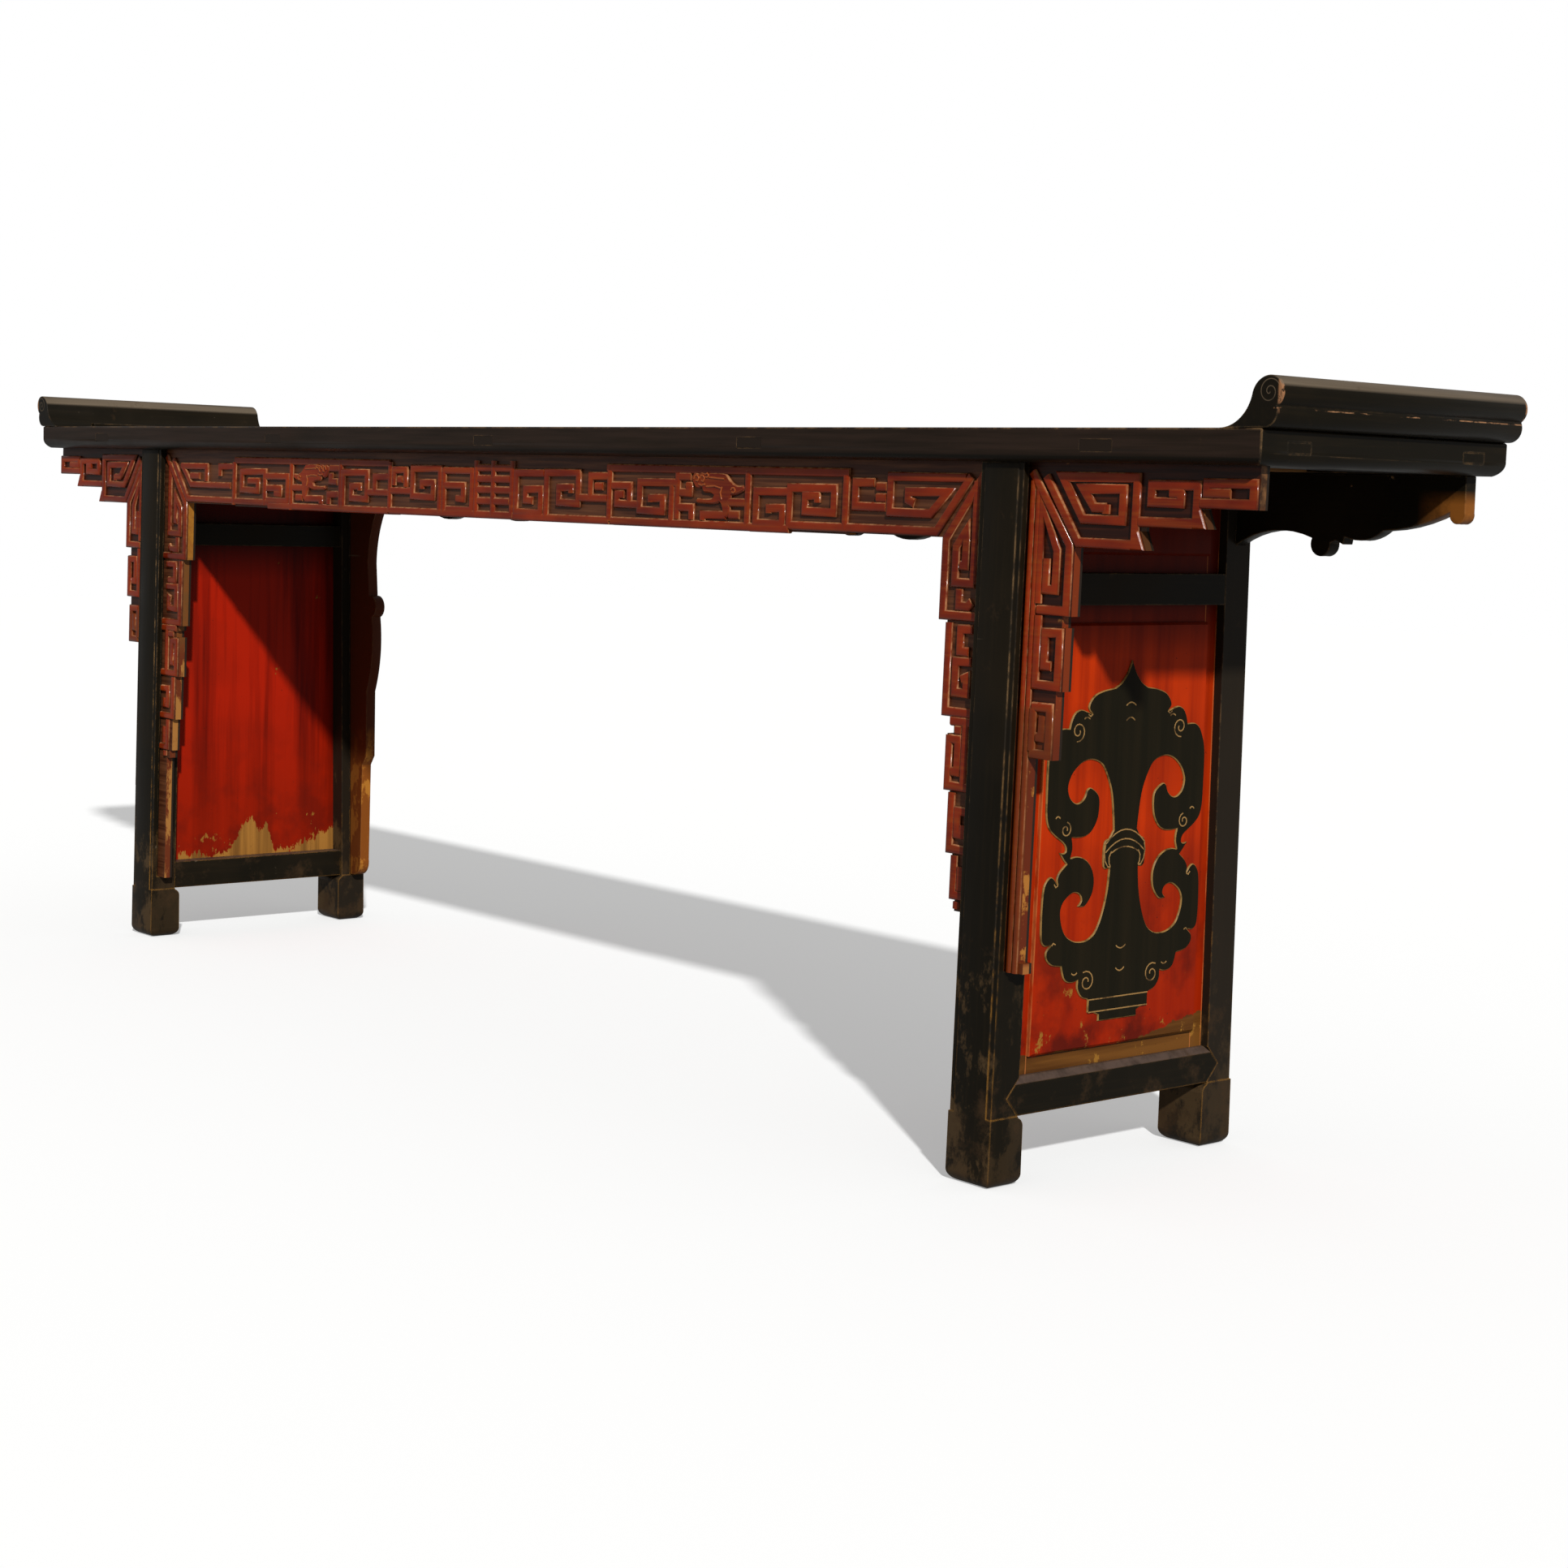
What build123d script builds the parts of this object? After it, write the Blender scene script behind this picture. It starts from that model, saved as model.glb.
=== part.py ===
from build123d import *
import math
import os

os.makedirs("parts", exist_ok=True)

# A long altar table: a framed and panelled top with everted ends, carried by two side
# frames whose leaning legs are bridled over a front and a rear apron board.
# Millimetres. X runs along the table, the front is at -Y, Z is up.
# The origin is on the floor, under the middle of the top.

# ---------------------------------------------------------------- driving sizes
# Top
top_length = 2985.0
top_depth = 456.0
top_height = 930.0
rail_thickness = 40.5
rail_width = 100.0
end_rail_width = 100.0
edge_undercut = 11.0        # how far the moulded edge draws in at its foot
edge_flat = 24.0            # height of the upright part of the moulded edge
edge_round = 3.0
panel_thickness = 14.0
panel_tongue = 8.0
tongue_thickness = 6.0
batten_count = 5
batten_end_inset = 244.5    # from the end of the top to the middle of the last batten
batten_width = 50.0
batten_tenon_height = 13.0
rail_tenon_width = 41.0
rail_tenon_height = 13.0
rail_tenon_inset = 66.0     # from the front of the top to the middle of the tenon

# Everted ends
flange_height = 57.0
flange_foot = 62.0          # how far in from the end the flange starts to rise
flange_overhang = 26.0
roll_radius = 18.0
flange_neck = 16.0          # from the end of the top in to the upright inner face
crease_angle = 55.0         # how far the roll curls under before it meets the lower roll
lower_roll_reach = 3.0      # how far the lower roll starts beyond the end of the top
flange_key_width = 14.0
flange_key_depth = 9.0
flange_key_length = 300.0

# Legs
leg_overhang = 408.5        # from the end of the top in to the middle of the legs
leg_width = 72.0
leg_depth = 48.0
foot_width = 75.0
foot_depth = 58.0
foot_height = 74.0
cove_height = 12.0
foot_line = 227.0           # front of the feet, measured from the middle
leg_lean = 13.8             # how far each leg leans in from floor to top
foot_round = 15.0
corner_rebate = 8.0
corner_rebate_depth = 1.5
rebate_start = 88.0         # height at which the rebates and the narrower leg begin
head_tenon_width = 40.0
head_tenon_depth = 12.0
head_tenon_height = 20.0
head_tenon_wall = 3.0       # wood left between the head tenon and the leg's inner face

# Front apron. Each step runs from the middle of the table outwards: (width, drop),
# the drop being measured down from the underside of the top. On a longer or shorter
# table the widths keep their shares of the way from the middle to the leg.
apron_setback = 10.5        # from the face of the legs to the face of the apron
apron_thickness = 20.0
apron_end_inset = 23.0      # from the end of the top in to the end of the apron
apron_drop = 94.0
apron_steps = [(52.0, 97.0), (241.0, 92.0), (307.0, 98.0), (80.0, 93.0), (118.0, 96.0)]
apron_last_width = 250.0    # from the last step to the leg, at the apron's own drop
outer_steps = [(81.0, 49.0), (91.0, 72.0)]      # from the end of the apron inwards
outer_drop = 99.0
spur_reach = 9.5            # pointed spur at the foot of each outer step
spur_height = 22.0
lap_thickness = 10.0        # front layer of the mitred half lap at each leg

# Fret: ribs that turn square corners and stand above the ground of the front boards.
fret_depth = 4.8
rib_width = 12.0
fret_head = 19.0            # underside of the top down to the middle of the highest rib
key_width = 78.0            # each run of the apron is shared out in keys of about this
key_pitch = 18.0            # least spacing between the ribs of a key
key_step = 40.0             # a spandrel step taller than this holds a key
rib_seat = 1.0              # how far the ribs run into the ground they grow from

# Front spandrels: each step is (drop of its foot below the apron, width off the leg).
spandrel_tongue = 6.0       # how far a spandrel enters the groove in the leg
inner_steps = [(102.0, 74.0), (221.0, 61.0), (230.0, 48.0), (242.0, 40.0),
               (313.0, 51.0), (391.0, 42.0), (448.0, 32.0), (462.0, 24.0)]
outer_spandrel_steps = [(87.0, 76.0), (101.0, 62.0), (177.0, 68.0), (260.0, 58.0)]
left_widening = 7.0         # the left inner spandrel was cut this much wider
strip_width = 20.0
worn_strip_width = 13.0
strip_foot = 112.0
short_strip_foot = 272.0
foot_block_reach = 7.0      # little foot of the short strip, beyond its edge
foot_block_height = 13.0

# Rear apron: hanging lobes between the legs, and a scrolled bracket beyond them. Each
# lobe is (distance from the middle, width, depth). Each step of a scroll is a corner and
# the bulge of the edge that leads to it, to its left.
lobes = [(168.0, 76.0, 11.0), (370.0, 44.0, 11.0), (500.0, 92.0, 13.0),
         (715.0, 100.0, 15.0)]
# Corners as (out from the leg, up from the foot of the apron, bulge).
bracket_scroll = [(122.0, 13.0, 14.0), (151.0, 8.0, -20.0), (160.0, 11.0, 0.0),
                  (171.0, 6.0, 0.0), (173.0, 16.0, 0.0), (232.0, 25.0, -8.0)]
sweep_bulge = 5.0
toe_length = 22.0
toe_rise = 50.0
toe_depth = 14.0
# Rear spandrels. Corners as (down from the foot of the apron, off the leg, bulge).
rear_spandrel_width = 98.0
spandrel_scroll = [(106.0, 64.0, 8.0), (166.0, 68.0, 0.0), (206.0, 78.0, -19.0),
                   (348.0, 60.0, -10.0), (472.0, 58.0, 0.0), (490.0, 45.0, 0.0)]
rear_spandrel_foot = 90.0
foot_scroll_height = 32.0
foot_scroll_width = 38.0
foot_scroll_tip = 14.0
foot_scroll_bulge = 9.0

# Side frames
stretcher_underside = 88.0
stretcher_height = 48.0
stretcher_chamfer = 8.0
side_rail_drop = 131.5      # underside of the top down to the top of the upper rail
side_rail_height = 40.0
head_rail_height = 28.0
side_rail_inset = 5.0       # inner face of the rails, from the inner face of the leg
shoulder_reach = 21.0
shoulder_thickness = 8.0
side_tenon_length = 24.0
head_rail_tenon = 12.0
side_tenon_thickness = 14.0
border_recess = 12.5        # outer face of the panel's border, from the leg's face
field_rise = 7.5
field_margin = 22.5
field_bevel = 3.0
side_panel_thickness = 27.0
side_tongue = 8.0
side_tongue_thickness = 8.0

# ---------------------------------------------------------------- derived sizes
half_length = top_length / 2
half_depth = top_depth / 2
top_under = top_height - rail_thickness
apron_bottom = top_under - apron_drop
lean = leg_lean / top_under
slope_stretch = math.sqrt(1 + lean**2)      # length along the slope for each unit of height
leg_centre_x = half_length - leg_overhang
leg_inner = leg_centre_x - leg_width / 2
leg_outer = leg_centre_x + leg_width / 2
panel_under = top_height - panel_thickness
tongue_middle = top_height - panel_thickness / 2
batten_height = panel_under - top_under
stretcher_top = stretcher_underside + stretcher_height
side_rail_top = top_under - side_rail_drop
side_rail_underside = side_rail_top - side_rail_height
head_rail_under = top_under - head_rail_height
apron_half_length = half_length - apron_end_inset


def face_y(z):
    """Y of the leaning front face of the front legs at height z."""
    return -foot_line + lean * z


def inner_y(z):
    """Y of the inner face of the front legs at height z."""
    return face_y(z) + leg_depth


def export(solid, label):
    """Name a finished piece and write it to its own file."""
    solid.label = label
    export_step(solid, f"parts/{label}.step")


def export_ends(solid, stem):
    """Write the piece drawn at the right end and its mirror image at the left."""
    export(solid, f"{stem}_right")
    export(solid.mirror(Plane.YZ), f"{stem}_left")


def leaning_plane(setback):
    """Plane parallel to the leaning faces of the front legs, set back into the table."""
    angle = math.atan(lean)
    return Plane(
        origin=(0, -foot_line + setback, 0),
        x_dir=(1, 0, 0),
        z_dir=(0, -math.cos(angle), math.sin(angle)),
    )


def lean_outline(*corners):
    """Closed outline on a leaning plane, from corners given by X and height."""
    with BuildLine() as outline:
        Polyline(*[(x, z * slope_stretch) for x, z in corners], close=True)
    return outline.edges()


def lean_band(x_from, x_to, z_from, z_to):
    """Upright rectangle on a leaning plane."""
    return lean_outline((x_from, z_from), (x_to, z_from), (x_to, z_to), (x_from, z_to))


def edge_profile(outer, inner, sign):
    """Outline of a top rail: a moulded outer edge and a straight inner one.

    outer and inner are distances from the middle of the table, sign is the side.
    """
    foot = outer - edge_undercut
    flat_foot = top_height - edge_flat
    with BuildLine() as outline:
        Line((sign * inner, top_height), (sign * (outer - edge_round), top_height))
        RadiusArc(
            (sign * (outer - edge_round), top_height),
            (sign * outer, top_height - edge_round),
            sign * edge_round,
        )
        Line((sign * outer, top_height - edge_round), (sign * outer, flat_foot))
        TangentArc((sign * outer, flat_foot), (sign * foot, top_under), tangent=(0, -1))
        Line((sign * foot, top_under), (sign * inner, top_under))
        Line((sign * inner, top_under), (sign * inner, top_height))
    return outline.edges()


# ---------------------------------------------------------------- top: long rails
# Each long rail is mitred to the end rails, and a tenon runs on from its mitre to show
# in the end face. Its inner edge is grooved for the panel and mortised for the battens.
inner_half_length = half_length - end_rail_width
inner_half_depth = half_depth - rail_width
tenon_y = half_depth - rail_tenon_inset
rail_tenon_middle = top_under + rail_thickness / 2
batten_tenon_middle = panel_under - batten_tenon_height / 2
head_y = inner_y(top_under) - head_tenon_wall - head_tenon_depth / 2
batten_spacing = (top_length - 2 * batten_end_inset) / (batten_count - 1)
batten_places = [
    n * batten_spacing + batten_end_inset - half_length for n in range(batten_count)
]

with BuildPart() as top_rail_front:
    with BuildSketch(Plane.YZ.offset(-half_length)):
        make_face(edge_profile(half_depth, inner_half_depth, -1))
    extrude(amount=top_length)
    with BuildSketch(Plane.XY.offset(top_under)):
        with BuildLine():
            Polyline(
                (-half_length, -half_depth),
                (half_length, -half_depth),
                (inner_half_length, -inner_half_depth),
                (-inner_half_length, -inner_half_depth),
                close=True,
            )
        make_face()
    extrude(amount=rail_thickness, mode=Mode.INTERSECT)
    with Locations((0, -tenon_y, rail_tenon_middle)):
        Box(top_length, rail_tenon_width, rail_tenon_height)
    with Locations((0, -inner_half_depth, tongue_middle)):
        Box(2 * inner_half_length, 2 * panel_tongue, tongue_thickness, mode=Mode.SUBTRACT)
    with Locations(*[(x, -half_depth, batten_tenon_middle) for x in batten_places]):
        Box(batten_width, 2 * rail_width, batten_tenon_height, mode=Mode.SUBTRACT)
    with Locations(*[(s * leg_centre_x, head_y, top_under) for s in (-1, 1)]):
        Box(head_tenon_width, head_tenon_depth, 2 * head_tenon_height, mode=Mode.SUBTRACT)
export(top_rail_front.part, "top_rail_front")
export(top_rail_front.part.mirror(Plane.XZ), "top_rail_rear")

# ---------------------------------------------------------------- top: end rails
with BuildPart() as end_rail:
    with BuildSketch(Plane.XZ.offset(-half_depth)):
        make_face(edge_profile(half_length, inner_half_length, 1))
    extrude(amount=top_depth)
    with BuildSketch(Plane.XY.offset(top_under)):
        with BuildLine():
            Polyline(
                (half_length, -half_depth),
                (half_length, half_depth),
                (inner_half_length, inner_half_depth),
                (inner_half_length, -inner_half_depth),
                close=True,
            )
        make_face()
    extrude(amount=rail_thickness, mode=Mode.INTERSECT)
    with Locations(*[(half_length, s * tenon_y, rail_tenon_middle) for s in (-1, 1)]):
        Box(2 * end_rail_width, rail_tenon_width, rail_tenon_height, mode=Mode.SUBTRACT)
    with Locations((inner_half_length, 0, tongue_middle)):
        Box(2 * panel_tongue, 2 * inner_half_depth, tongue_thickness, mode=Mode.SUBTRACT)
    key_x = half_length - end_rail_width / 2
    with Locations((key_x, 0, top_height)):
        Box(flange_key_width, flange_key_length, 2 * flange_key_depth, mode=Mode.SUBTRACT)
export_ends(end_rail.part, "top_end_rail")

# ---------------------------------------------------------------- top: panel, battens
with BuildPart() as top_panel:
    with Locations((0, 0, (top_height + panel_under) / 2)):
        Box(2 * inner_half_length, 2 * inner_half_depth, panel_thickness)
    with Locations((0, 0, tongue_middle)):
        Box(
            2 * (inner_half_length + panel_tongue),
            2 * inner_half_depth,
            tongue_thickness,
        )
        Box(
            2 * inner_half_length,
            2 * (inner_half_depth + panel_tongue),
            tongue_thickness,
        )
export(top_panel.part, "top_panel")

for number, x in enumerate(batten_places, start=1):
    with BuildPart() as batten:
        with Locations((x, 0, top_under + batten_height / 2)):
            Box(batten_width, 2 * inner_half_depth, batten_height)
        with Locations((x, 0, batten_tenon_middle)):
            Box(batten_width, top_depth, batten_tenon_height)
    export(batten.part, f"batten_{number}")

# ---------------------------------------------------------------- everted ends
# The inner face sweeps up from the top to an upright neck; the crest rolls outwards
# into a scroll, and a second, lower roll runs from the scroll back to the end rail.
with BuildPart() as flange:
    neck_x = half_length - flange_neck
    crest_z = top_height + flange_height
    roll_x = half_length + flange_overhang - roll_radius
    roll_z = crest_z - roll_radius
    with BuildSketch(Plane.XZ.offset(-half_depth)):
        with BuildLine():
            sweep_up = TangentArc(
                (half_length - flange_foot, top_height), (neck_x, roll_z), tangent=(1, 0)
            )
            crest = TangentArc(
                (roll_x, crest_z), (neck_x, roll_z), tangent=(-1, 0)
            )
            roll = CenterArc((roll_x, roll_z), roll_radius, 90, -90 - crease_angle)
            TangentArc(
                (half_length + lower_roll_reach, top_height), roll @ 1, tangent=(1, 0)
            )
            Line((half_length + lower_roll_reach, top_height), sweep_up @ 0)
        make_face()
    extrude(amount=top_depth)
    with Locations((key_x, 0, top_height)):
        Box(flange_key_width, flange_key_length, 2 * flange_key_depth)
export_ends(flange.part, "flange")

# ---------------------------------------------------------------- legs
# Side outline of a leg, extruded through its width: it leans back as it rises, and a
# small cove under the stretcher leads out to the deeper foot.
stretcher_middle = stretcher_underside + stretcher_height / 2
side_rail_middle = side_rail_underside + side_rail_height / 2
rail_inner_x = leg_inner + side_rail_inset
head_rail_middle = head_rail_under + head_rail_height / 2
side_tenons = [
    (stretcher_middle, stretcher_height, side_tenon_length),
    (side_rail_middle, side_rail_height, side_tenon_length),
    (head_rail_middle, head_rail_height, head_rail_tenon),
]
panel_outer_x = leg_outer - border_recess
panel_inner_x = panel_outer_x - side_panel_thickness
side_tongue_x = (panel_outer_x + panel_inner_x) / 2


def shoulder_outline():
    """Pointed shoulder of the bottom stretcher, lying on the face of the leg."""
    with BuildLine() as outline:
        Polyline(
            (inner_y(stretcher_top), stretcher_top),
            (inner_y(stretcher_middle) - shoulder_reach, stretcher_middle),
            (inner_y(stretcher_underside), stretcher_underside),
            (0, stretcher_underside),
            (0, stretcher_top),
            close=True,
        )
    return outline.edges()


with BuildPart() as leg:
    cove_top = foot_height + cove_height
    with BuildSketch(Plane.YZ.offset(leg_centre_x - foot_width / 2)):
        with BuildLine():
            Polyline(
                (-foot_line + foot_depth, foot_height),
                (-foot_line + foot_depth, 0),
                (-foot_line, 0),
                (face_y(top_under), top_under),
                (inner_y(top_under), top_under),
                (inner_y(cove_top), cove_top),
            )
            RadiusArc(
                (inner_y(cove_top), cove_top),
                (-foot_line + foot_depth, foot_height),
                cove_height,
            )
        make_face()
    extrude(amount=foot_width)
    fillet(leg.faces().sort_by(Axis.Z)[0].edges(), radius=foot_round)
    # Above the foot the sides are drawn in a little.
    side_relief = (foot_width - leg_width) / 2
    for sign in (-1, 1):
        with BuildSketch(Plane.XY.offset(rebate_start)):
            with Locations((leg_centre_x + sign * (leg_width + side_relief) / 2, 0)):
                Rectangle(side_relief, 2 * foot_line)
        extrude(amount=top_under, mode=Mode.SUBTRACT)
    # Rebates down both front corners.
    for sign in (-1, 1):
        rebate_x = leg_centre_x + sign * (leg_width / 2 - corner_rebate)
        outside_x = leg_centre_x + sign * foot_width
        with BuildSketch(leaning_plane(-corner_rebate_depth)):
            make_face(lean_band(rebate_x, outside_x, rebate_start, top_height))
        extrude(amount=2 * corner_rebate_depth, dir=(0, 1, 0), mode=Mode.SUBTRACT)
    # Open bridle slot in the head, which drops over the apron.
    with BuildSketch(leaning_plane(apron_setback)):
        make_face(
            lean_band(
                leg_inner - foot_width, leg_outer + foot_width, apron_bottom, top_height
            )
        )
    extrude(amount=apron_thickness, dir=(0, 1, 0), mode=Mode.SUBTRACT)
    # Head tenon, behind the slot.
    with Locations((leg_centre_x, head_y, top_under + head_tenon_height / 2)):
        Box(head_tenon_width, head_tenon_depth, head_tenon_height)
    # Mortises for the rails of the side frame, and the groove for its panels.
    for middle, height, length in side_tenons:
        with Locations((leg_centre_x, inner_y(middle), middle)):
            Box(
                side_tenon_thickness,
                2 * length,
                height - 2 * side_tongue,
                mode=Mode.SUBTRACT,
            )
    with BuildSketch(Plane.YZ.offset(side_tongue_x - side_tongue_thickness / 2)):
        with BuildLine():
            groove_foot = stretcher_top - side_tongue
            groove_head = head_rail_under + side_tongue
            Polyline(
                (0, groove_foot),
                (inner_y(groove_foot) - side_tongue, groove_foot),
                (inner_y(groove_head) - side_tongue, groove_head),
                (0, groove_head),
                close=True,
            )
        make_face()
    extrude(amount=side_tongue_thickness, mode=Mode.SUBTRACT)
    # Seat of the pointed shoulder.
    with BuildSketch(Plane.YZ.offset(leg_outer - shoulder_thickness)):
        make_face(shoulder_outline())
    extrude(amount=shoulder_thickness + side_relief, mode=Mode.SUBTRACT)


def spandrel_groove(edge_x, direction, foot):
    """Solid of the groove that takes a spandrel's edge in the side of a leg."""
    with BuildPart() as groove:
        with BuildSketch(leaning_plane(apron_setback)):
            root_x = edge_x + direction * spandrel_tongue
            outside_x = edge_x - direction * foot_width / 2
            make_face(lean_band(outside_x, root_x, foot, apron_bottom))
        extrude(amount=apron_thickness, dir=(0, 1, 0))
    return groove.part


inner_groove = spandrel_groove(leg_inner, 1, strip_foot)
outer_groove = spandrel_groove(leg_outer, -1, short_strip_foot)
rear_groove = spandrel_groove(leg_inner, 1, rear_spandrel_foot)
export_ends(leg.part - inner_groove - outer_groove, "leg_front")
export_ends((leg.part - rear_groove).mirror(Plane.XZ), "leg_rear")


# ---------------------------------------------------------------- fret
# A key is a squared spiral. Its ribs are drawn by their middle lines, mitred at each
# turn, and share out the height between the foot of a board and its highest rib.
inner_widths = {1: inner_steps[0][1], -1: inner_steps[0][1] + left_widening}
outer_width = outer_spandrel_steps[0][1]
step_share = leg_inner / (sum(width for width, drop in apron_steps) + apron_last_width)
apron_runs = [(width * step_share, drop) for width, drop in apron_steps]
outer_run_end = apron_half_length - sum(width for width, drop in outer_steps)
half_rib = rib_width / 2
fret_top = top_under - fret_head


def rib_outline(line):
    """Outline of a rib of even width along a line, with mitred turns."""
    runs = []
    for (x, z), (next_x, next_z) in zip(line, line[1:]):
        length = math.hypot(next_x - x, next_z - z)
        runs.append(((next_x - x) / length, (next_z - z) / length))
    left = []
    right = []
    for n, (x, z) in enumerate(line):
        before = runs[max(n - 1, 0)]
        after = runs[min(n, len(runs) - 1)]
        reach = half_rib / (1 + before[0] * after[0] + before[1] * after[1])
        shift_x = -(before[1] + after[1]) * reach
        shift_z = (before[0] + after[0]) * reach
        left.append((x + shift_x, z + shift_z))
        right.append((x - shift_x, z - shift_z))
    return lean_outline(*left, *right[::-1])


def key_line(start, far, first_axis, sides, pitch):
    """Middle line of a key that leaves start along X (0) or upright (1).

    It runs between start and far, and closes in by a pitch on sides already drawn. A
    later side that would be too short to show is left off, and ends the key.
    """
    here = list(start)
    line = [start]
    for side in range(sides):
        axis = (first_axis + side) % 2
        lap = side // 2
        goal, back = (far, start) if lap % 2 == 0 else (start, far)
        inset = (lap + side % 2) // 2 * pitch
        turn = goal[axis] + math.copysign(inset, back[axis] - goal[axis])
        if side and abs(turn - here[axis]) < rib_width:
            break
        here[axis] = turn
        line.append(tuple(here))
    return line


def key_run(side, x_from, x_to, foot):
    """Keys in facing pairs along a run of the apron, each standing on the foot rib."""
    count = max(1, round((x_to - x_from) / key_width))
    width = (x_to - x_from) / count
    rows = max(1, int((fret_top - foot) / key_pitch))
    pitch = (fret_top - foot) / rows
    lines = []
    for n in range(count):
        near = x_from + n * width + rib_width
        far = x_from + (n + 1) * width - half_rib
        if n % 2:
            near, far = far, near
        key = key_line((near, foot + pitch), (far, fret_top), 1, 2 * rows, pitch)
        lines.append([(side * x, z) for x, z in [(near, foot)] + key[1:]])
    return lines


def mitre_x(edge_x, width, z):
    """X of the mitre between the apron and a spandrel of this width at height z."""
    return edge_x + width * (top_under - z) / apron_drop


def apron_fret(side):
    """Middle lines of the ribs on one half of the front apron."""
    lines = []
    x = apron_runs[0][0]
    for width, drop in apron_runs[1:]:
        foot = top_under - drop + half_rib
        lines.append([(side * x, foot), (side * (x + width), foot)])
        lines += key_run(side, x, x + width, foot)
        x += width
    # Up to the mitre beside the leg.
    foot = apron_bottom + half_rib
    turn = mitre_x(leg_inner, -inner_widths[side], foot) - rib_width
    top = mitre_x(leg_inner, -inner_widths[side], fret_top) - rib_width
    lines.append([(side * x, foot), (side * turn, foot), (side * top, fret_top)])
    lines += key_run(side, x, turn - half_rib, foot)
    # From the mitre beyond the leg out to the end.
    foot = top_under - outer_drop + half_rib
    turn = mitre_x(leg_outer, outer_width, foot) + rib_width
    top = mitre_x(leg_outer, outer_width, fret_top) + rib_width
    x = outer_run_end
    lines.append([(side * top, fret_top), (side * turn, foot), (side * x, foot)])
    lines += key_run(side, turn, x, foot)
    for width, drop in reversed(outer_steps):
        foot = top_under - drop + half_rib
        lines.append([(side * x, foot), (side * (x + width), foot)])
        lines += key_run(side, x, x + width, foot)
        x += width
    return lines


def ladder_fret():
    """Upright and level bars of the ladder in the middle of the apron."""
    half = apron_runs[0][0] - half_rib
    foot = top_under - apron_runs[0][1] + half_rib
    rows = int((fret_top - foot) / key_pitch)
    pitch = (fret_top - foot) / rows
    lines = [[(x, foot - half_rib), (x, fret_top + half_rib)] for x in (-half, 0, half)]
    for row in range(rows + 1):
        lines.append([(-half, foot + row * pitch), (half, foot + row * pitch)])
    return lines


def carved_board(outline, ribs, plain):
    """A leaning board whose ribs and plain parts stand above a sunk ground."""
    with BuildPart() as board:
        with BuildSketch(leaning_plane(apron_setback + fret_depth)):
            make_face(outline)
        extrude(amount=apron_thickness - fret_depth, dir=(0, 1, 0))
        with BuildSketch(leaning_plane(apron_setback)):
            for line in ribs:
                make_face(rib_outline(line))
            for edges in plain:
                make_face(edges)
        extrude(amount=fret_depth + rib_seat, dir=(0, 1, 0))
    return board.part


# ---------------------------------------------------------------- front apron
# One board runs the length of the table through the heads of both front legs. Beside
# each leg its front layer is cut to a mitre, and the spandrel laps over the rest.
def apron_edge(side, inner_width):
    """Corners of half the apron's lower edge, from the middle to the end."""
    corners = []
    x = 0.0
    for width, drop in apron_runs:
        corners += [(side * x, top_under - drop), (side * (x + width), top_under - drop)]
        x += width
    corners.append((side * x, apron_bottom))
    corners.append((side * (leg_inner - inner_width), apron_bottom))
    z = top_under - outer_drop
    corners.append((side * (leg_outer + outer_width), apron_bottom))
    corners.append((side * (leg_outer + outer_width), z))
    x = outer_run_end
    for width, drop in reversed(outer_steps):
        corners += [(side * (x + spur_reach), z), (side * x, z + spur_height)]
        z = top_under - drop
        corners.append((side * x, z))
        x += width
    return corners + [(side * x, z), (side * x, top_under)]


def mitre_pocket(side, edge_x, width):
    """Triangle of the front layer that the head of a spandrel fills."""
    return lean_outline(
        (side * (edge_x - width), apron_bottom),
        (side * edge_x, top_under),
        (side * edge_x, apron_bottom),
    )


right_edge = apron_edge(1, inner_widths[1])
left_edge = apron_edge(-1, inner_widths[-1])
in_the_legs = [
    lean_band(side * leg_inner, side * leg_outer, apron_bottom, top_under)
    for side in (-1, 1)
]
with BuildPart() as apron_front:
    add(
        carved_board(
            lean_outline(*left_edge[::-1], *right_edge[1:]),
            ladder_fret() + apron_fret(-1) + apron_fret(1),
            in_the_legs,
        )
    )
    with BuildSketch(leaning_plane(apron_setback)):
        for side in (-1, 1):
            make_face(mitre_pocket(side, leg_inner, inner_widths[side]))
            make_face(mitre_pocket(side, leg_outer, -outer_width))
    extrude(amount=lap_thickness, dir=(0, 1, 0), mode=Mode.SUBTRACT)
export(apron_front.part, "apron_front")


# ---------------------------------------------------------------- front spandrels
def spandrel_fret(edge_x, direction, steps):
    """Ribs of a spandrel and its plain parts, from the mitre down to the last step."""

    def off(width):
        return edge_x + direction * width

    head_width = steps[0][1]
    foot = apron_bottom - steps[0][0]
    # The first rib runs down beside the mitre, then follows the edge to the foot.
    crown = fret_top - rib_width
    top = mitre_x(edge_x, direction * head_width, crown) - direction * rib_width
    edge = off(head_width - half_rib)
    turn = top_under - apron_drop * (head_width + half_rib) / head_width
    corners = [(top, crown), (edge, turn), (edge, foot + half_rib)]
    lines = [corners + [(edge_x, foot + half_rib)]]
    plain = []
    for drop, width in steps[1:]:
        head = foot
        foot = apron_bottom - drop
        if head - foot > key_step:
            start = (off(half_rib), head - half_rib)
            far = (off(width - half_rib), foot + half_rib)
            pitch = max(key_pitch, (width - rib_width) / 2)
            lines.append(key_line(start, far, 0, 5, pitch))
        else:
            plain.append(lean_band(edge_x, off(width), foot, head))
    return lines, plain


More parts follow.
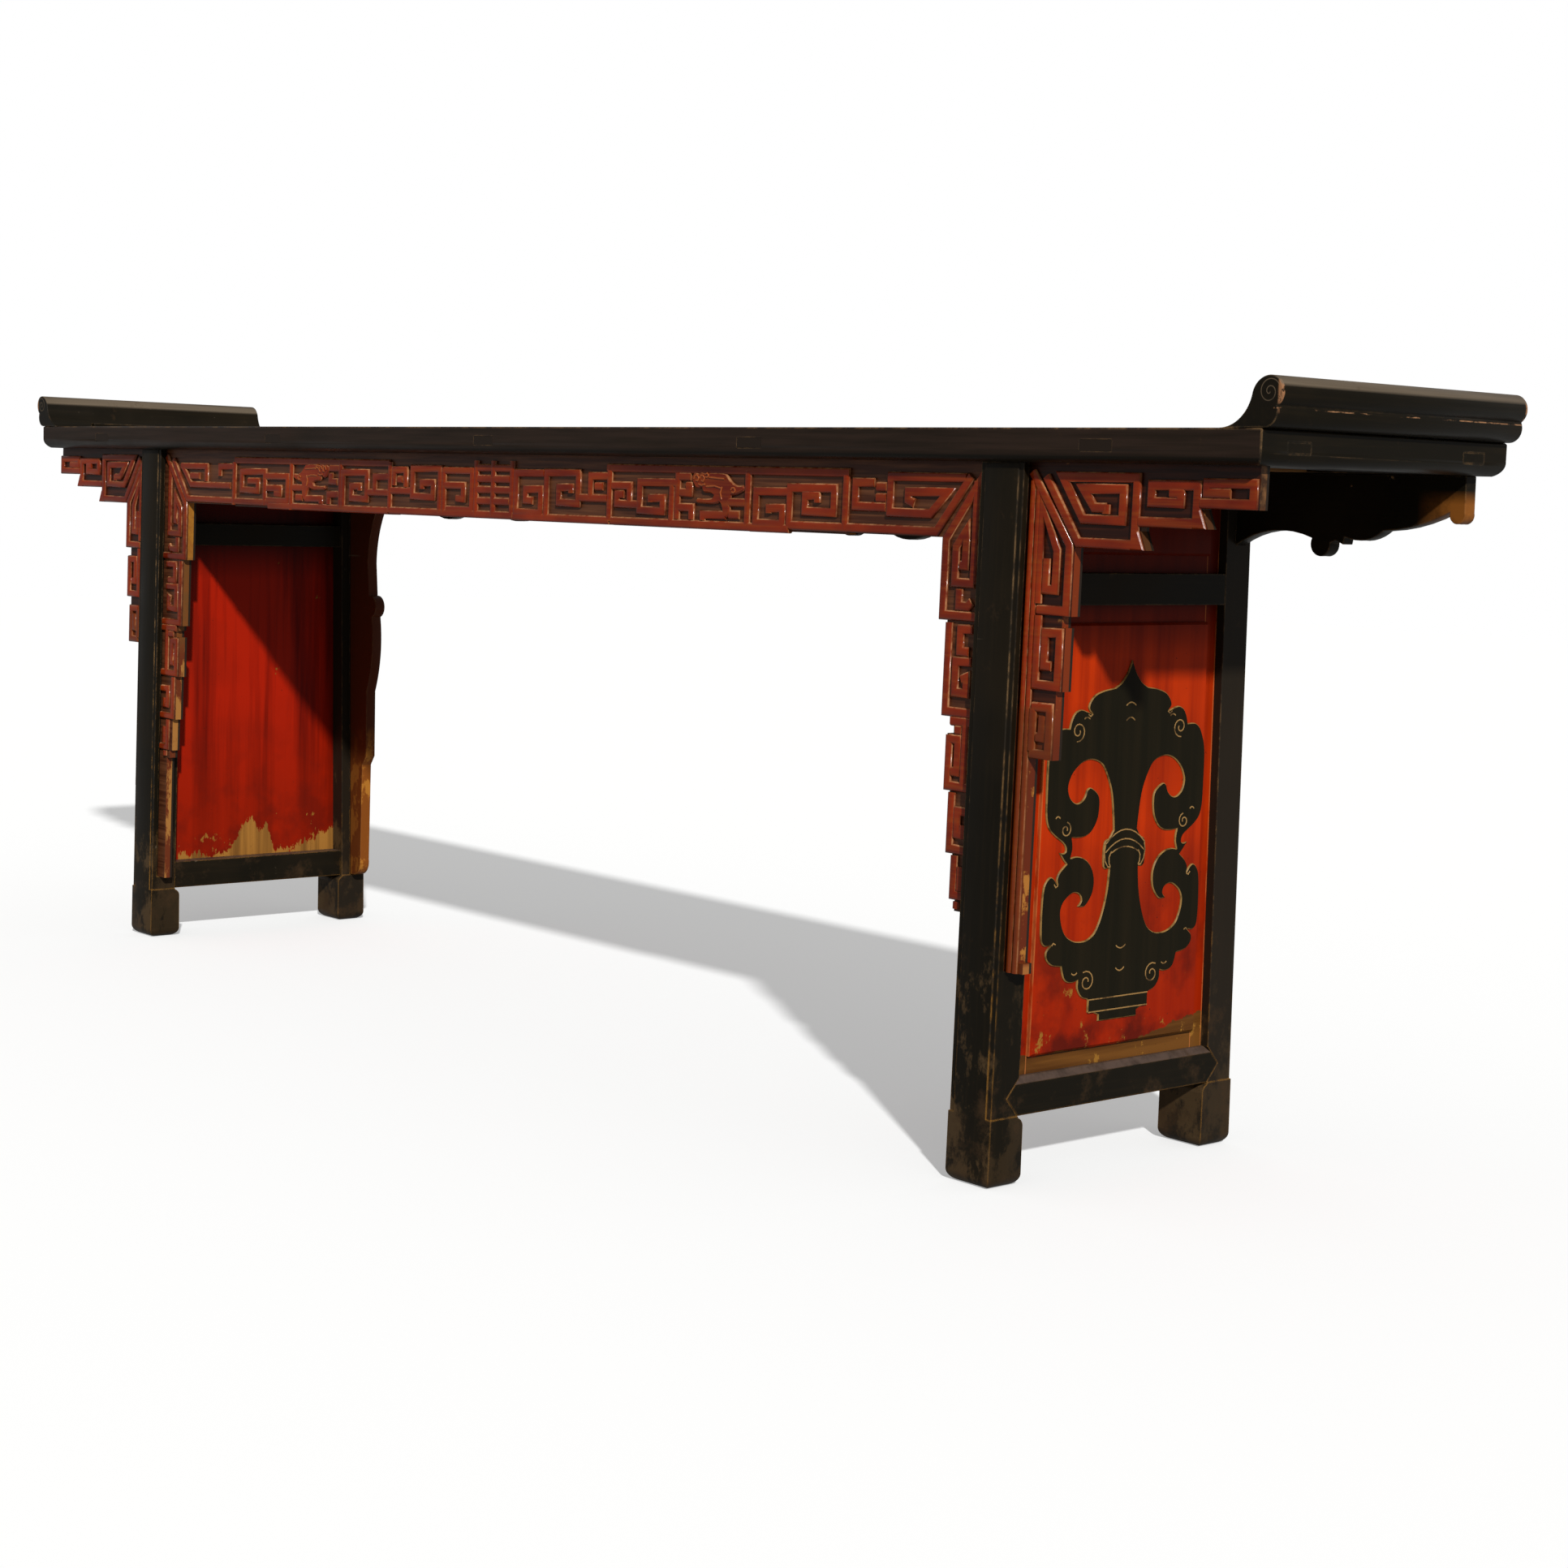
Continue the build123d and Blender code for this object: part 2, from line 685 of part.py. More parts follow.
def spandrel(edge_x, direction, steps, strip, foot, block_reach=0.0):
    """A stepped fretwork spandrel beside the right-hand leg.

    Its edge sits in the leg's groove at edge_x, and direction points away from the leg.
    """
    root_x = edge_x - direction * spandrel_tongue
    corners = [(root_x, apron_bottom)]
    height = apron_bottom
    for drop, width in steps:
        x = edge_x + direction * width
        corners += [(x, height), (x, apron_bottom - drop)]
        height = apron_bottom - drop
    strip_x = edge_x + direction * strip
    corners.append((strip_x, height))
    ribs, plain = spandrel_fret(edge_x, direction, steps)
    plain.append(lean_band(root_x, edge_x, foot, apron_bottom))
    plain.append(lean_band(edge_x, strip_x, foot, height))
    if block_reach:
        block_x = strip_x + direction * block_reach
        block_head = foot + foot_block_height
        corners += [(strip_x, block_head), (block_x, block_head), (block_x, foot)]
        plain.append(lean_band(edge_x, block_x, foot, block_head))
    else:
        corners.append((strip_x, foot))
    corners.append((root_x, foot))
    with BuildPart() as board:
        add(carved_board(lean_outline(*corners), ribs, plain))
        with BuildSketch(leaning_plane(apron_setback + fret_depth)):
            make_face(mitre_pocket(1, edge_x, -direction * steps[0][1]))
        extrude(amount=lap_thickness - fret_depth, dir=(0, 1, 0))
    return board.part


left_steps = [(drop, width + left_widening) for drop, width in inner_steps]
inner_right = spandrel(leg_inner, -1, inner_steps, worn_strip_width, strip_foot)
inner_left = spandrel(leg_inner, -1, left_steps, strip_width, strip_foot)
outer_spandrel = spandrel(
    leg_outer,
    1,
    outer_spandrel_steps,
    strip_width,
    short_strip_foot,
    foot_block_reach,
)
export(inner_right, "spandrel_front_inner_right")
export(inner_left.mirror(Plane.YZ), "spandrel_front_inner_left")
export_ends(outer_spandrel, "spandrel_front_outer")


# ---------------------------------------------------------------- rear apron
# A plain board with a lobed and scrolled lower edge. Like the rear legs it is drawn at
# the front and mirrored across. Outlines here are drawn upright and then stretched to
# the slope of the legs.


def off_chord(start, end, bulge):
    """Point that stands off the middle of a chord by bulge, to the left of its way."""
    run = end[0] - start[0]
    rise = end[1] - start[1]
    share = bulge / math.hypot(run, rise)
    middle = ((start[0] + end[0]) / 2, (start[1] + end[1]) / 2)
    return (middle[0] - rise * share, middle[1] + run * share)


def rear_apron_outline():
    """Right-hand half of the rear apron, from the middle of the table to its end."""
    z = apron_bottom
    with BuildLine() as outline:
        x = 0.0
        for place, width, depth in lobes:
            Line((x, z), (place - width / 2, z))
            ThreePointArc(
                (place - width / 2, z),
                (place, z - depth),
                (place + width / 2, z),
            )
            x = place + width / 2
        Line((x, z), (leg_outer, z))
        start = (leg_outer, z)
        for out, up, bulge in bracket_scroll:
            end = (leg_outer + out, z + up)
            if bulge:
                ThreePointArc(start, off_chord(start, end, bulge), end)
            else:
                Line(start, end)
            start = end
        toe = (apron_half_length - toe_length, z + toe_rise)
        tip = (apron_half_length, z + toe_rise)
        ThreePointArc(start, off_chord(start, toe, -sweep_bulge), toe)
        ThreePointArc(toe, off_chord(toe, tip, -toe_depth), tip)
        Polyline(tip, (apron_half_length, top_under), (0, top_under), (0, z))
    return outline.edges()


def rear_spandrel_outline():
    """Scrolled outline of the rear spandrel beside the right-hand leg."""
    root_x = leg_inner + spandrel_tongue
    foot = rear_spandrel_foot
    start = (leg_inner - rear_spandrel_width, apron_bottom)
    with BuildLine() as outline:
        Line((root_x, apron_bottom), start)
        for down, width, bulge in spandrel_scroll:
            end = (leg_inner - width, apron_bottom - down)
            if bulge:
                ThreePointArc(start, off_chord(start, end, bulge), end)
            else:
                Line(start, end)
            start = end
        heel = (leg_inner - foot_scroll_width, foot + foot_scroll_height)
        tip = (leg_inner - foot_scroll_tip, foot)
        Line(start, heel)
        ThreePointArc(heel, off_chord(heel, tip, -foot_scroll_bulge), tip)
        Polyline(tip, (root_x, foot), (root_x, apron_bottom))
    return outline.edges()


with BuildPart() as apron_rear:
    with BuildSketch(leaning_plane(apron_setback)):
        make_face(rear_apron_outline())
        scale(by=(1, slope_stretch, 1))
        mirror(about=Plane.YZ)
    extrude(amount=apron_thickness, dir=(0, 1, 0))
export(apron_rear.part.mirror(Plane.XZ), "apron_rear")

with BuildPart() as spandrel_rear:
    with BuildSketch(leaning_plane(apron_setback)):
        make_face(rear_spandrel_outline())
        scale(by=(1, slope_stretch, 1))
    extrude(amount=apron_thickness, dir=(0, 1, 0))
export_ends(spandrel_rear.part.mirror(Plane.XZ), "spandrel_rear")


# ---------------------------------------------------------------- side frames
def between_legs(z_from, z_to, reach):
    """Outline across the table between the leaning legs, reaching into both."""
    half_foot = -inner_y(z_from) + reach
    half_head = -inner_y(z_to) + reach
    with BuildLine() as outline:
        Polyline(
            (-half_foot, z_from),
            (half_foot, z_from),
            (half_head, z_to),
            (-half_head, z_to),
            close=True,
        )
    return outline.edges()


def side_rail(z_from, height, x_from, x_to, tenon_length):
    """A rail between two legs, with a tenon at each end."""
    middle = z_from + height / 2
    with BuildPart() as rail:
        with BuildSketch(Plane.YZ.offset(x_from)):
            make_face(between_legs(z_from, z_from + height, 0))
        extrude(amount=x_to - x_from)
        with Locations((leg_centre_x, 0, middle)):
            Box(
                side_tenon_thickness,
                2 * (tenon_length - inner_y(middle)),
                height - 2 * side_tongue,
            )
    return rail.part


def panel_groove(z):
    """Solid of the groove that the edge of a side panel runs in, centred on height z."""
    with BuildPart() as groove:
        with Locations((side_tongue_x, 0, z)):
            Box(side_tongue_thickness, top_depth, 2 * side_tongue)
    return groove.part


with BuildPart() as stretcher:
    add(
        side_rail(
            stretcher_underside,
            stretcher_height,
            rail_inner_x,
            leg_outer - shoulder_thickness,
            side_tenon_length,
        )
    )
    with BuildSketch(Plane.YZ.offset(leg_outer - shoulder_thickness)):
        make_face(shoulder_outline())
        mirror(about=Plane.YZ)
    extrude(amount=shoulder_thickness)
    top_edges = stretcher.edges().filter_by(Axis.Y).group_by(Axis.Z)[-1]
    chamfer(top_edges.sort_by(Axis.X)[-1], length=stretcher_chamfer)
    add(panel_groove(stretcher_top), mode=Mode.SUBTRACT)
export_ends(stretcher.part, "stretcher")

with BuildPart() as upper_rail:
    add(
        side_rail(
            side_rail_underside,
            side_rail_height,
            rail_inner_x,
            leg_outer,
            side_tenon_length,
        )
    )
    add(panel_groove(side_rail_underside), mode=Mode.SUBTRACT)
    add(panel_groove(side_rail_top), mode=Mode.SUBTRACT)
export_ends(upper_rail.part, "upper_rail")

with BuildPart() as head_rail:
    add(
        side_rail(
            head_rail_under,
            head_rail_height,
            panel_inner_x - side_tongue,
            panel_outer_x + side_tongue,
            head_rail_tenon,
        )
    )
    add(panel_groove(head_rail_under), mode=Mode.SUBTRACT)
export_ends(head_rail.part, "head_rail")


def side_panel(z_from, z_to):
    """A floating panel with tongues all round and a raised field on its outer face."""
    with BuildPart() as panel:
        with BuildSketch(Plane.YZ.offset(panel_inner_x)):
            make_face(between_legs(z_from, z_to, 0))
        extrude(amount=side_panel_thickness)
        with BuildSketch(Plane.YZ.offset(side_tongue_x - side_tongue_thickness / 2)):
            make_face(between_legs(z_from - side_tongue, z_to + side_tongue, side_tongue))
        extrude(amount=side_tongue_thickness)
        with BuildSketch(Plane.YZ.offset(panel_outer_x)):
            make_face(
                between_legs(z_from + field_margin, z_to - field_margin, -field_margin)
            )
        extrude(amount=field_rise)
        chamfer(panel.faces().sort_by(Axis.X)[-1].edges(), length=field_bevel)
    return panel.part


export_ends(side_panel(stretcher_top, side_rail_underside), "side_panel")
export_ends(side_panel(side_rail_top, head_rail_under), "upper_panel")
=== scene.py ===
# %% [markdown]
# # A long altar table with carved fretwork
# The table is built as a trestle. A framed top with scrolled, everted ends lies on
# four leaning legs, a carved board runs through the heads of the front legs, and a
# panelled frame joins each pair of legs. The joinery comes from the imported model, and
# this script gives each piece its carving, its softened edges and its worn lacquer.

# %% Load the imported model
import math

import bmesh
import bpy
from mathutils import Matrix, Vector
from mathutils.geometry import tessellate_polygon


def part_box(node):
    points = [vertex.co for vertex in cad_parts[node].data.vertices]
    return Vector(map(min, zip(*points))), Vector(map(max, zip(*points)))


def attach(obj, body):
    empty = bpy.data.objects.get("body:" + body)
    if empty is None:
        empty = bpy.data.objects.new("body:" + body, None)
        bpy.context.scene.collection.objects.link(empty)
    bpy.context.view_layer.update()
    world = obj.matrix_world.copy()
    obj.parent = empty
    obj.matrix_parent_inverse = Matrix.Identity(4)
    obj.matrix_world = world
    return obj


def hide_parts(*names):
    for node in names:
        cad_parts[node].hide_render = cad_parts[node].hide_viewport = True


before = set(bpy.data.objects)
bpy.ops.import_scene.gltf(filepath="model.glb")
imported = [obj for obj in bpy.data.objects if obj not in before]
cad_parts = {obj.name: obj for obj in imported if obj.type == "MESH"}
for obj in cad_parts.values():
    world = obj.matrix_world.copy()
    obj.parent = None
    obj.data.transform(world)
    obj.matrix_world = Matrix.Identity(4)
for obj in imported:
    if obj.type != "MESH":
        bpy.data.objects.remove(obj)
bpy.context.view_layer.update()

MM = 0.001
print("nodes:", len(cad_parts))

# %% [markdown]
# ## Camera
# A camera is placed by its position and three turns. Writing its axes out, instead of
# aiming it at a target, keeps the small roll that a hand-held view has.

# %% Camera


def placed(name, data):
    """A new object in the scene, made of the data."""
    made = bpy.data.objects.new(name, data)
    bpy.context.collection.objects.link(made)
    return made


camera_data = bpy.data.cameras.new("camera")
camera_data.lens = 61.72
camera_data.sensor_width = 36.0
camera_data.clip_end = 50.0
camera = placed("camera", camera_data)
camera_place = (3.3901, -2.5344, 0.8379)
yaw, pitch, roll = 0.8588, -0.106, 0.0316
ahead = Vector((-math.sin(yaw) * math.cos(pitch), math.cos(yaw) * math.cos(pitch),
                math.sin(pitch)))
level = Vector((math.cos(yaw), math.sin(yaw), 0.0))
upright = level.cross(ahead)
across = level * math.cos(roll) + upright * math.sin(roll)
upwards = upright * math.cos(roll) - level * math.sin(roll)
axes = Matrix((across, upwards, -ahead)).transposed().to_4x4()
camera.matrix_world = Matrix.Translation(camera_place) @ axes
bpy.context.scene.camera = camera
print("camera looks along", [round(v, 3) for v in ahead])

# %% [markdown]
# ## Short calls for nodes
# The sky, the floor, the ribs and every finish are trees of nodes. Each node needs a
# call to make it, one for each setting and one for each link. A helper that does all of
# it in one line keeps the trees readable, and most steps in them are plain arithmetic.

# %% Helpers for node trees


def add_node(tree, kind, inputs=None, **settings):
    """Add a node, set its properties, and fill its inputs with values or links."""
    made = tree.nodes.new(kind)
    for name, value in settings.items():
        setattr(made, name, value)
    for key, value in (inputs or {}).items():
        if isinstance(value, bpy.types.NodeSocket):
            tree.links.new(value, made.inputs[key])
        else:
            made.inputs[key].default_value = value
    return made


def math_node(tree, kind, *values):
    """One arithmetic step in a node tree."""
    return add_node(tree, "ShaderNodeMath", dict(enumerate(values)),
                    operation=kind).outputs[0]


trial_tree = bpy.data.node_groups.new("trial", "ShaderNodeTree")
math_node(trial_tree, "ADD", math_node(trial_tree, "MULTIPLY", 2.0, 3.0), 1.0)
print("trial tree:", len(trial_tree.nodes), "nodes,", len(trial_tree.links), "link")
bpy.data.node_groups.remove(trial_tree)

# %% [markdown]
# ## Light
# A small high sun from the right draws the shadow of the top on the side panels, and an
# even sky fills it in. The two together bring a white surface just to white. Area lamps
# would be softer, but their shadows wouldn't stay parallel over a table three metres
# long. The background is white for the camera alone: the table sees a dimmer sky.

# %% Light
scene = bpy.context.scene
scene.view_settings.view_transform = "Standard"

world = bpy.data.worlds.new("studio")
scene.world = world
world.use_nodes = True
sky = world.node_tree
sky.nodes.clear()
rays = add_node(sky, "ShaderNodeLightPath")
soft = add_node(sky, "ShaderNodeBackground", {"Color": (1, 1, 1, 1), "Strength": 0.25})
white = add_node(sky, "ShaderNodeBackground", {"Color": (1, 1, 1, 1), "Strength": 1.0})
shown = add_node(sky, "ShaderNodeMixShader", {
    0: rays.outputs["Is Camera Ray"], 1: soft.outputs[0], 2: white.outputs[0]})
add_node(sky, "ShaderNodeOutputWorld", {0: shown.outputs[0]})

sun_data = bpy.data.lights.new("sun", "SUN")
sun_data.energy = 3.05
sun_data.angle = math.radians(2)
sun = placed("sun", sun_data)
to_sun = Vector((1.8, -1.06, 1.28))
sun.rotation_euler = to_sun.to_track_quat("Z", "Y").to_euler()
print("sun at", round(math.degrees(to_sun.angle(Vector((0, 0, 1))))), "degrees from above")

# %% [markdown]
# ## Floor
# The floor adds what it lacks of white for the camera alone, so that its shadow stays.
# Towards the table it is a middle grey, because a white floor would shine back in the
# lacquer and grey its black.

# %% Floor
floor_mesh = bpy.data.meshes.new("floor")
floor_mesh.from_pydata(
    [(-14, -14, 0), (14, -14, 0), (14, 14, 0), (-14, 14, 0)], [], [(0, 1, 2, 3)])
floor = placed("floor", floor_mesh)
paper = bpy.data.materials.new("floor")
paper.use_nodes = True
floor_tree = paper.node_tree
matt = floor_tree.nodes["Principled BSDF"]
matt.inputs["Roughness"].default_value = 0.9
matt.inputs["Specular IOR Level"].default_value = 0.0
matt.inputs["Emission Color"].default_value = (1, 1, 1, 1)
seen = add_node(floor_tree, "ShaderNodeLightPath").outputs["Is Camera Ray"]
lifted = math_node(floor_tree, "MULTIPLY", seen, 0.3)
floor_tree.links.new(lifted, matt.inputs["Emission Strength"])
tones = {0: seen, 6: (0.4, 0.4, 0.39, 1), 7: (0.93, 0.93, 0.92, 1)}
tone = add_node(floor_tree, "ShaderNodeMix", tones, data_type="RGBA")
floor_tree.links.new(tone.outputs[2], matt.inputs["Base Color"])
floor_mesh.materials.append(paper)
print("floor:", round(floor.dimensions.x), "metres wide")

# %% [markdown]
# ## Lacquer over wood
# Old lacquer is a thin dark skin. It rubs through on edges and on the parts that hands
# and feet touch, and the ochre ground coat shows there. Each finish is made of masks:
# noise for clouding, stretched noise for grain, a Bevel node for the edges, and bands of
# the coordinates for wear that belongs to one place. Painted images would do it too, but
# masks need no unwrapping and stay sharp close by. A class keeps the node calls short.

# %% Helpers for the finishes


class Finish:
    """A material under construction, with short calls for the masks it is made of."""

    def __init__(self, name):
        self.material = bpy.data.materials.new(name)
        self.material.use_nodes = True
        self.tree = self.material.node_tree
        self.surface = self.tree.nodes["Principled BSDF"]
        self.place = add_node(self.tree, "ShaderNodeTexCoord").outputs["Object"]
        axes = add_node(self.tree, "ShaderNodeSeparateXYZ", {0: self.place})
        self.x, self.y, self.z = axes.outputs
        self.off_x, self.off_y = self.size(self.x), self.size(self.y)
        self.normal = add_node(self.tree, "ShaderNodeNewGeometry").outputs["Normal"]
        self.faces = add_node(self.tree, "ShaderNodeSeparateXYZ", {0: self.normal}).outputs

    def math(self, kind, *values):
        """One arithmetic step."""
        return math_node(self.tree, kind, *values)

    def times(self, made, *others):
        """Masks multiplied: white only where every one of them is white."""
        for other in others:
            made = self.math("MULTIPLY", made, other)
        return made

    def plus(self, first, second):
        """Two values added up."""
        return self.math("ADD", first, second)

    def size(self, value):
        """A value without its sign, so that one mask does both ends of the table."""
        return self.math("ABSOLUTE", value)

    def apart(self, value, spot):
        """How far a value lies from a spot, on either side."""
        return self.size(self.math("SUBTRACT", value, spot))

    def ramp(self, value, low, high, to_low=0.0, to_high=1.0):
        """Stretch a value from low..high to the new range, and hold it there."""
        keys = {"Value": value, "From Min": low, "From Max": high,
                "To Min": to_low, "To Max": to_high}
        return add_node(self.tree, "ShaderNodeMapRange", keys).outputs["Result"]

    def below(self, value, low, high):
        """White where the value is under low, black where it is over high."""
        return self.ramp(value, low, high, 1.0, 0.0)

    def noise(self, scale, detail, stretch=(1, 1, 1), rough=0.55, shift=(0, 0, 0)):
        """Cloudy pattern, drawn out along an axis where stretch is small."""
        spot = add_node(self.tree, "ShaderNodeMapping",
                        {"Vector": self.place, "Scale": stretch, "Location": shift})
        keys = {"Vector": spot.outputs[0], "Scale": scale, "Detail": detail,
                "Roughness": rough}
        return add_node(self.tree, "ShaderNodeTexNoise", keys).outputs["Fac"]

    def edges(self, radius, low=0.02, high=0.25):
        """White along the edges of the shape, black on its open faces."""
        bevel = add_node(self.tree, "ShaderNodeBevel", {"Radius": radius}, samples=4)
        keys = {0: bevel.outputs[0], 1: self.normal}
        same = add_node(self.tree, "ShaderNodeVectorMath", keys, operation="DOT_PRODUCT")
        return self.ramp(self.math("SUBTRACT", 1.0, same.outputs["Value"]), low, high)

    def mix(self, factor, first, second):
        """Blend two colours, each a tuple or a socket."""
        first = (*first, 1.0) if isinstance(first, tuple) else first
        second = (*second, 1.0) if isinstance(second, tuple) else second
        made = add_node(self.tree, "ShaderNodeMix", {0: factor, 6: first, 7: second},
                        data_type="RGBA")
        return made.outputs[2]

    def coats(self, colour, *coats):
        """Lay coats over a colour. Each is a mask and the colour that shows there."""
        for mask, tint in coats:
            colour = self.mix(mask, colour, tint)
        return colour

    def finish(self, colour, roughness, height=None, distance=0.0004, strength=0.5,
               gloss=0.3):
        """Connect the colour, the roughness and the bump, and hand the material over."""
        self.surface.inputs["Specular IOR Level"].default_value = gloss
        self.tree.links.new(colour, self.surface.inputs["Base Color"])
        self.tree.links.new(roughness, self.surface.inputs["Roughness"])
        if height is not None:
            keys = {"Height": height, "Distance": distance, "Strength": strength}
            bump = add_node(self.tree, "ShaderNodeBump", keys)
            self.tree.links.new(bump.outputs[0], self.surface.inputs["Normal"])
        return self.material


GRAIN = {"x": (0.04, 1, 1), "y": (1, 0.04, 1), "z": (1, 1, 0.04)}
OCHRE = (0.32, 0.145, 0.022)
BARE = (0.38, 0.18, 0.055)
print("grain can run along", sorted(GRAIN))

# %% [markdown]
# ## Wear of the long boards
# Wear tells where a table was touched. Dust and hands have dulled the front edge of the
# top, its upper arris has a painted highlight, and the toes of the rear board are bare
# wood. Bands of x, y and z pick these places out, so the boards can share one material.

# %% Wear and a painted highlight along the top
TOP_EDGE = 0.2262               # y beyond which a point lies on the edge of the top


def top_wear_and_highlight(f, colour, worn, grain, chips):
    """Dull front edge, painted arris highlight, bare rear toes, over a colour and its wear.
    """
    film = f.times(f.below(f.y, -TOP_EDGE, -0.225), f.ramp(grain, 0.3, 0.65, 0.35, 0.9))
    toe = f.times(f.ramp(f.off_x, 1.4, 1.45), f.below(f.z, 0.855, 0.872),
                  f.ramp(f.y, 0.1, 0.11), f.ramp(chips, 0.3, 0.5, 0.5, 0.95))
    colour = f.coats(colour, (film, (0.033, 0.019, 0.013)), (toe, (0.27, 0.09, 0.014)))
    # painted highlight: a pale line along the top's front arris, carried in the wear mask
    arris_highlight = f.times(f.ramp(f.z, 0.9278, 0.9286), f.ramp(f.off_y, TOP_EDGE, 0.227),
                    f.ramp(chips, 0.46, 0.6, 0.0, 0.5))
    return colour, f.math("MAXIMUM", worn, arris_highlight)


print("top edge dulled in front of y", -TOP_EDGE)

# %% [markdown]
# ## Wear of the rolled ends
# A scroll line is cut in the end faces of the rolls. It could be a modelled groove, but
# a line this fine reads as a colour: a spiral lies where the radius in pitches plus the
# angle in turns is a whole number. The corners of the rolls are knocked bare, dust and a
# painted sheen pale their crests, and the crease between the beads lost its lacquer in
# short runs. The low stretchers share this grain; feet and a painted sheen grey their tops.

# %% Wear across the table
ROLL_X, ROLL_Z = 1.5005, 0.969  # middle of the roll
SCROLL_PITCH = 0.0078
CREASE_Z = 0.9512               # the crease between the two beads of the roll


def end_wear_and_sheen(f, colour, chips):
    """Scroll line, bare corners, crests and stretcher tops paled by dust, wear and painted
    sheen.
    """
    out = f.math("SUBTRACT", f.off_x, ROLL_X)
    rise = f.math("SUBTRACT", f.z, ROLL_Z)
    radius = f.math("SQRT", f.plus(f.times(out, out), f.times(rise, rise)))
    angle = f.math("DIVIDE", f.math("ARCTAN2", rise, out), math.tau)
    turn = f.math("FRACT", f.plus(f.math("DIVIDE", radius, SCROLL_PITCH), angle))
    line = f.times(f.ramp(f.apart(turn, 0.5), 0.4, 0.46), f.below(radius, 0.015, 0.0156),
                   f.ramp(f.off_y, 0.2272, 0.2276), f.ramp(chips, 0.3, 0.5, 0.25, 0.8))
    chipped = f.noise(75.0, 6.0, rough=0.7)
    corner = f.times(f.ramp(f.off_y, 0.2235, 0.2245), f.ramp(out, 0.011, 0.0135),
                     f.ramp(f.z, 0.944, 0.95), f.ramp(chipped, 0.47, 0.53, 0.0, 0.9))
    # wear and painted sheen: up-facing tops of the low stretchers are painted grey
    trodden_and_sheen = f.times(f.ramp(f.faces["Z"], 0.4, 0.6), f.below(f.z, 0.15, 0.16),
                      f.ramp(chips, 0.3, 0.55, 0.4, 1.0))
    dust_and_sheen = f.noise(40.0, 4.0, GRAIN["y"])
    # dust and painted sheen: the up-facing crests of the rolls are painted pale
    crest = f.times(f.ramp(f.z, 0.97, 0.975), f.ramp(f.faces["Z"], 0.3, 0.5),
                    f.ramp(dust_and_sheen, 0.3, 0.5, 0.5, 0.9))
    runs = f.noise(50.0, 5.0, (1, 0.3, 1), rough=0.7)
    crease = f.times(f.below(f.apart(f.z, CREASE_Z), 0.0003, 0.001),
                     f.ramp(out, 0.006, 0.008), f.ramp(runs, 0.5, 0.56))
    return f.coats(colour, (trodden_and_sheen, (0.09, 0.058, 0.044)), (line, (0.15, 0.105, 0.065)),
                   (corner, (0.4, 0.185, 0.085)), (crest, (0.165, 0.125, 0.085)),
                   (crease, (0.36, 0.18, 0.085)))


print("rolls at x", ROLL_X, "and z", ROLL_Z, "with a scroll line every", SCROLL_PITCH)

# %% [markdown]
# ## Wear of the legs
# The feet are bare and brown, the more the nearer the floor, and most of all in front.
# The boards beside the rear legs were only stained red-brown, and are rubbed orange low
# down. They run upright like the legs, so one material does both, split by a band of x.

# %% Wear of the upright pieces
STRIP_EDGE = 1.046              # x where the boards beside the legs meet the legs


def leg_wear(f, colour):
    """Brown feet, dull rear legs, and the stained boards beside the rear legs."""
    cloud = f.noise(17.0, 8.0, (1, 1, 0.6), rough=0.75)
    tired = f.ramp(f.plus(cloud, f.ramp(f.z, 0.0, 0.3, 0.18, 0.0)), 0.6, 0.67, 0.0, 0.85)
    tired = f.times(tired, f.below(f.z, 0.26, 0.32),
                    f.ramp(f.faces["Y"], -0.7, -0.4, 1.0, 0.35))
    strip = f.times(f.below(f.off_x, STRIP_EDGE - 0.001, STRIP_EDGE),
                    f.ramp(f.y, 0.1, 0.11), 0.9)
    lower = f.times(f.below(f.z, 0.3, 0.38),
                    f.ramp(f.size(f.faces["X"]), 0.3, 0.7, 0.25, 1.0))
    chipped = f.ramp(f.noise(38.0, 6.0, (1, 1, 0.5), rough=0.7), 0.53, 0.57)
    rust = f.coats((0.085, 0.017, 0.0045), (lower, (0.27, 0.075, 0.01)),
                   (f.times(lower, chipped), (0.5, 0.19, 0.025)))
    return f.coats(colour, (f.ramp(f.y, 0.0, 0.1, 0.0, 0.6), (0.024, 0.017, 0.011)),
                   (tired, (0.078, 0.046, 0.02)), (strip, rust))


print("legs outside x", STRIP_EDGE, "and stained boards inside it")

# %% [markdown]
# ## Black lacquer of the frame
# The frame is black, rubbed brown in clouds, and worn to the ochre coat along its edges.
# The grain has to follow each board, so the function makes one material for each
# direction and adds the wear of the pieces that run that way.

# %% Black lacquer


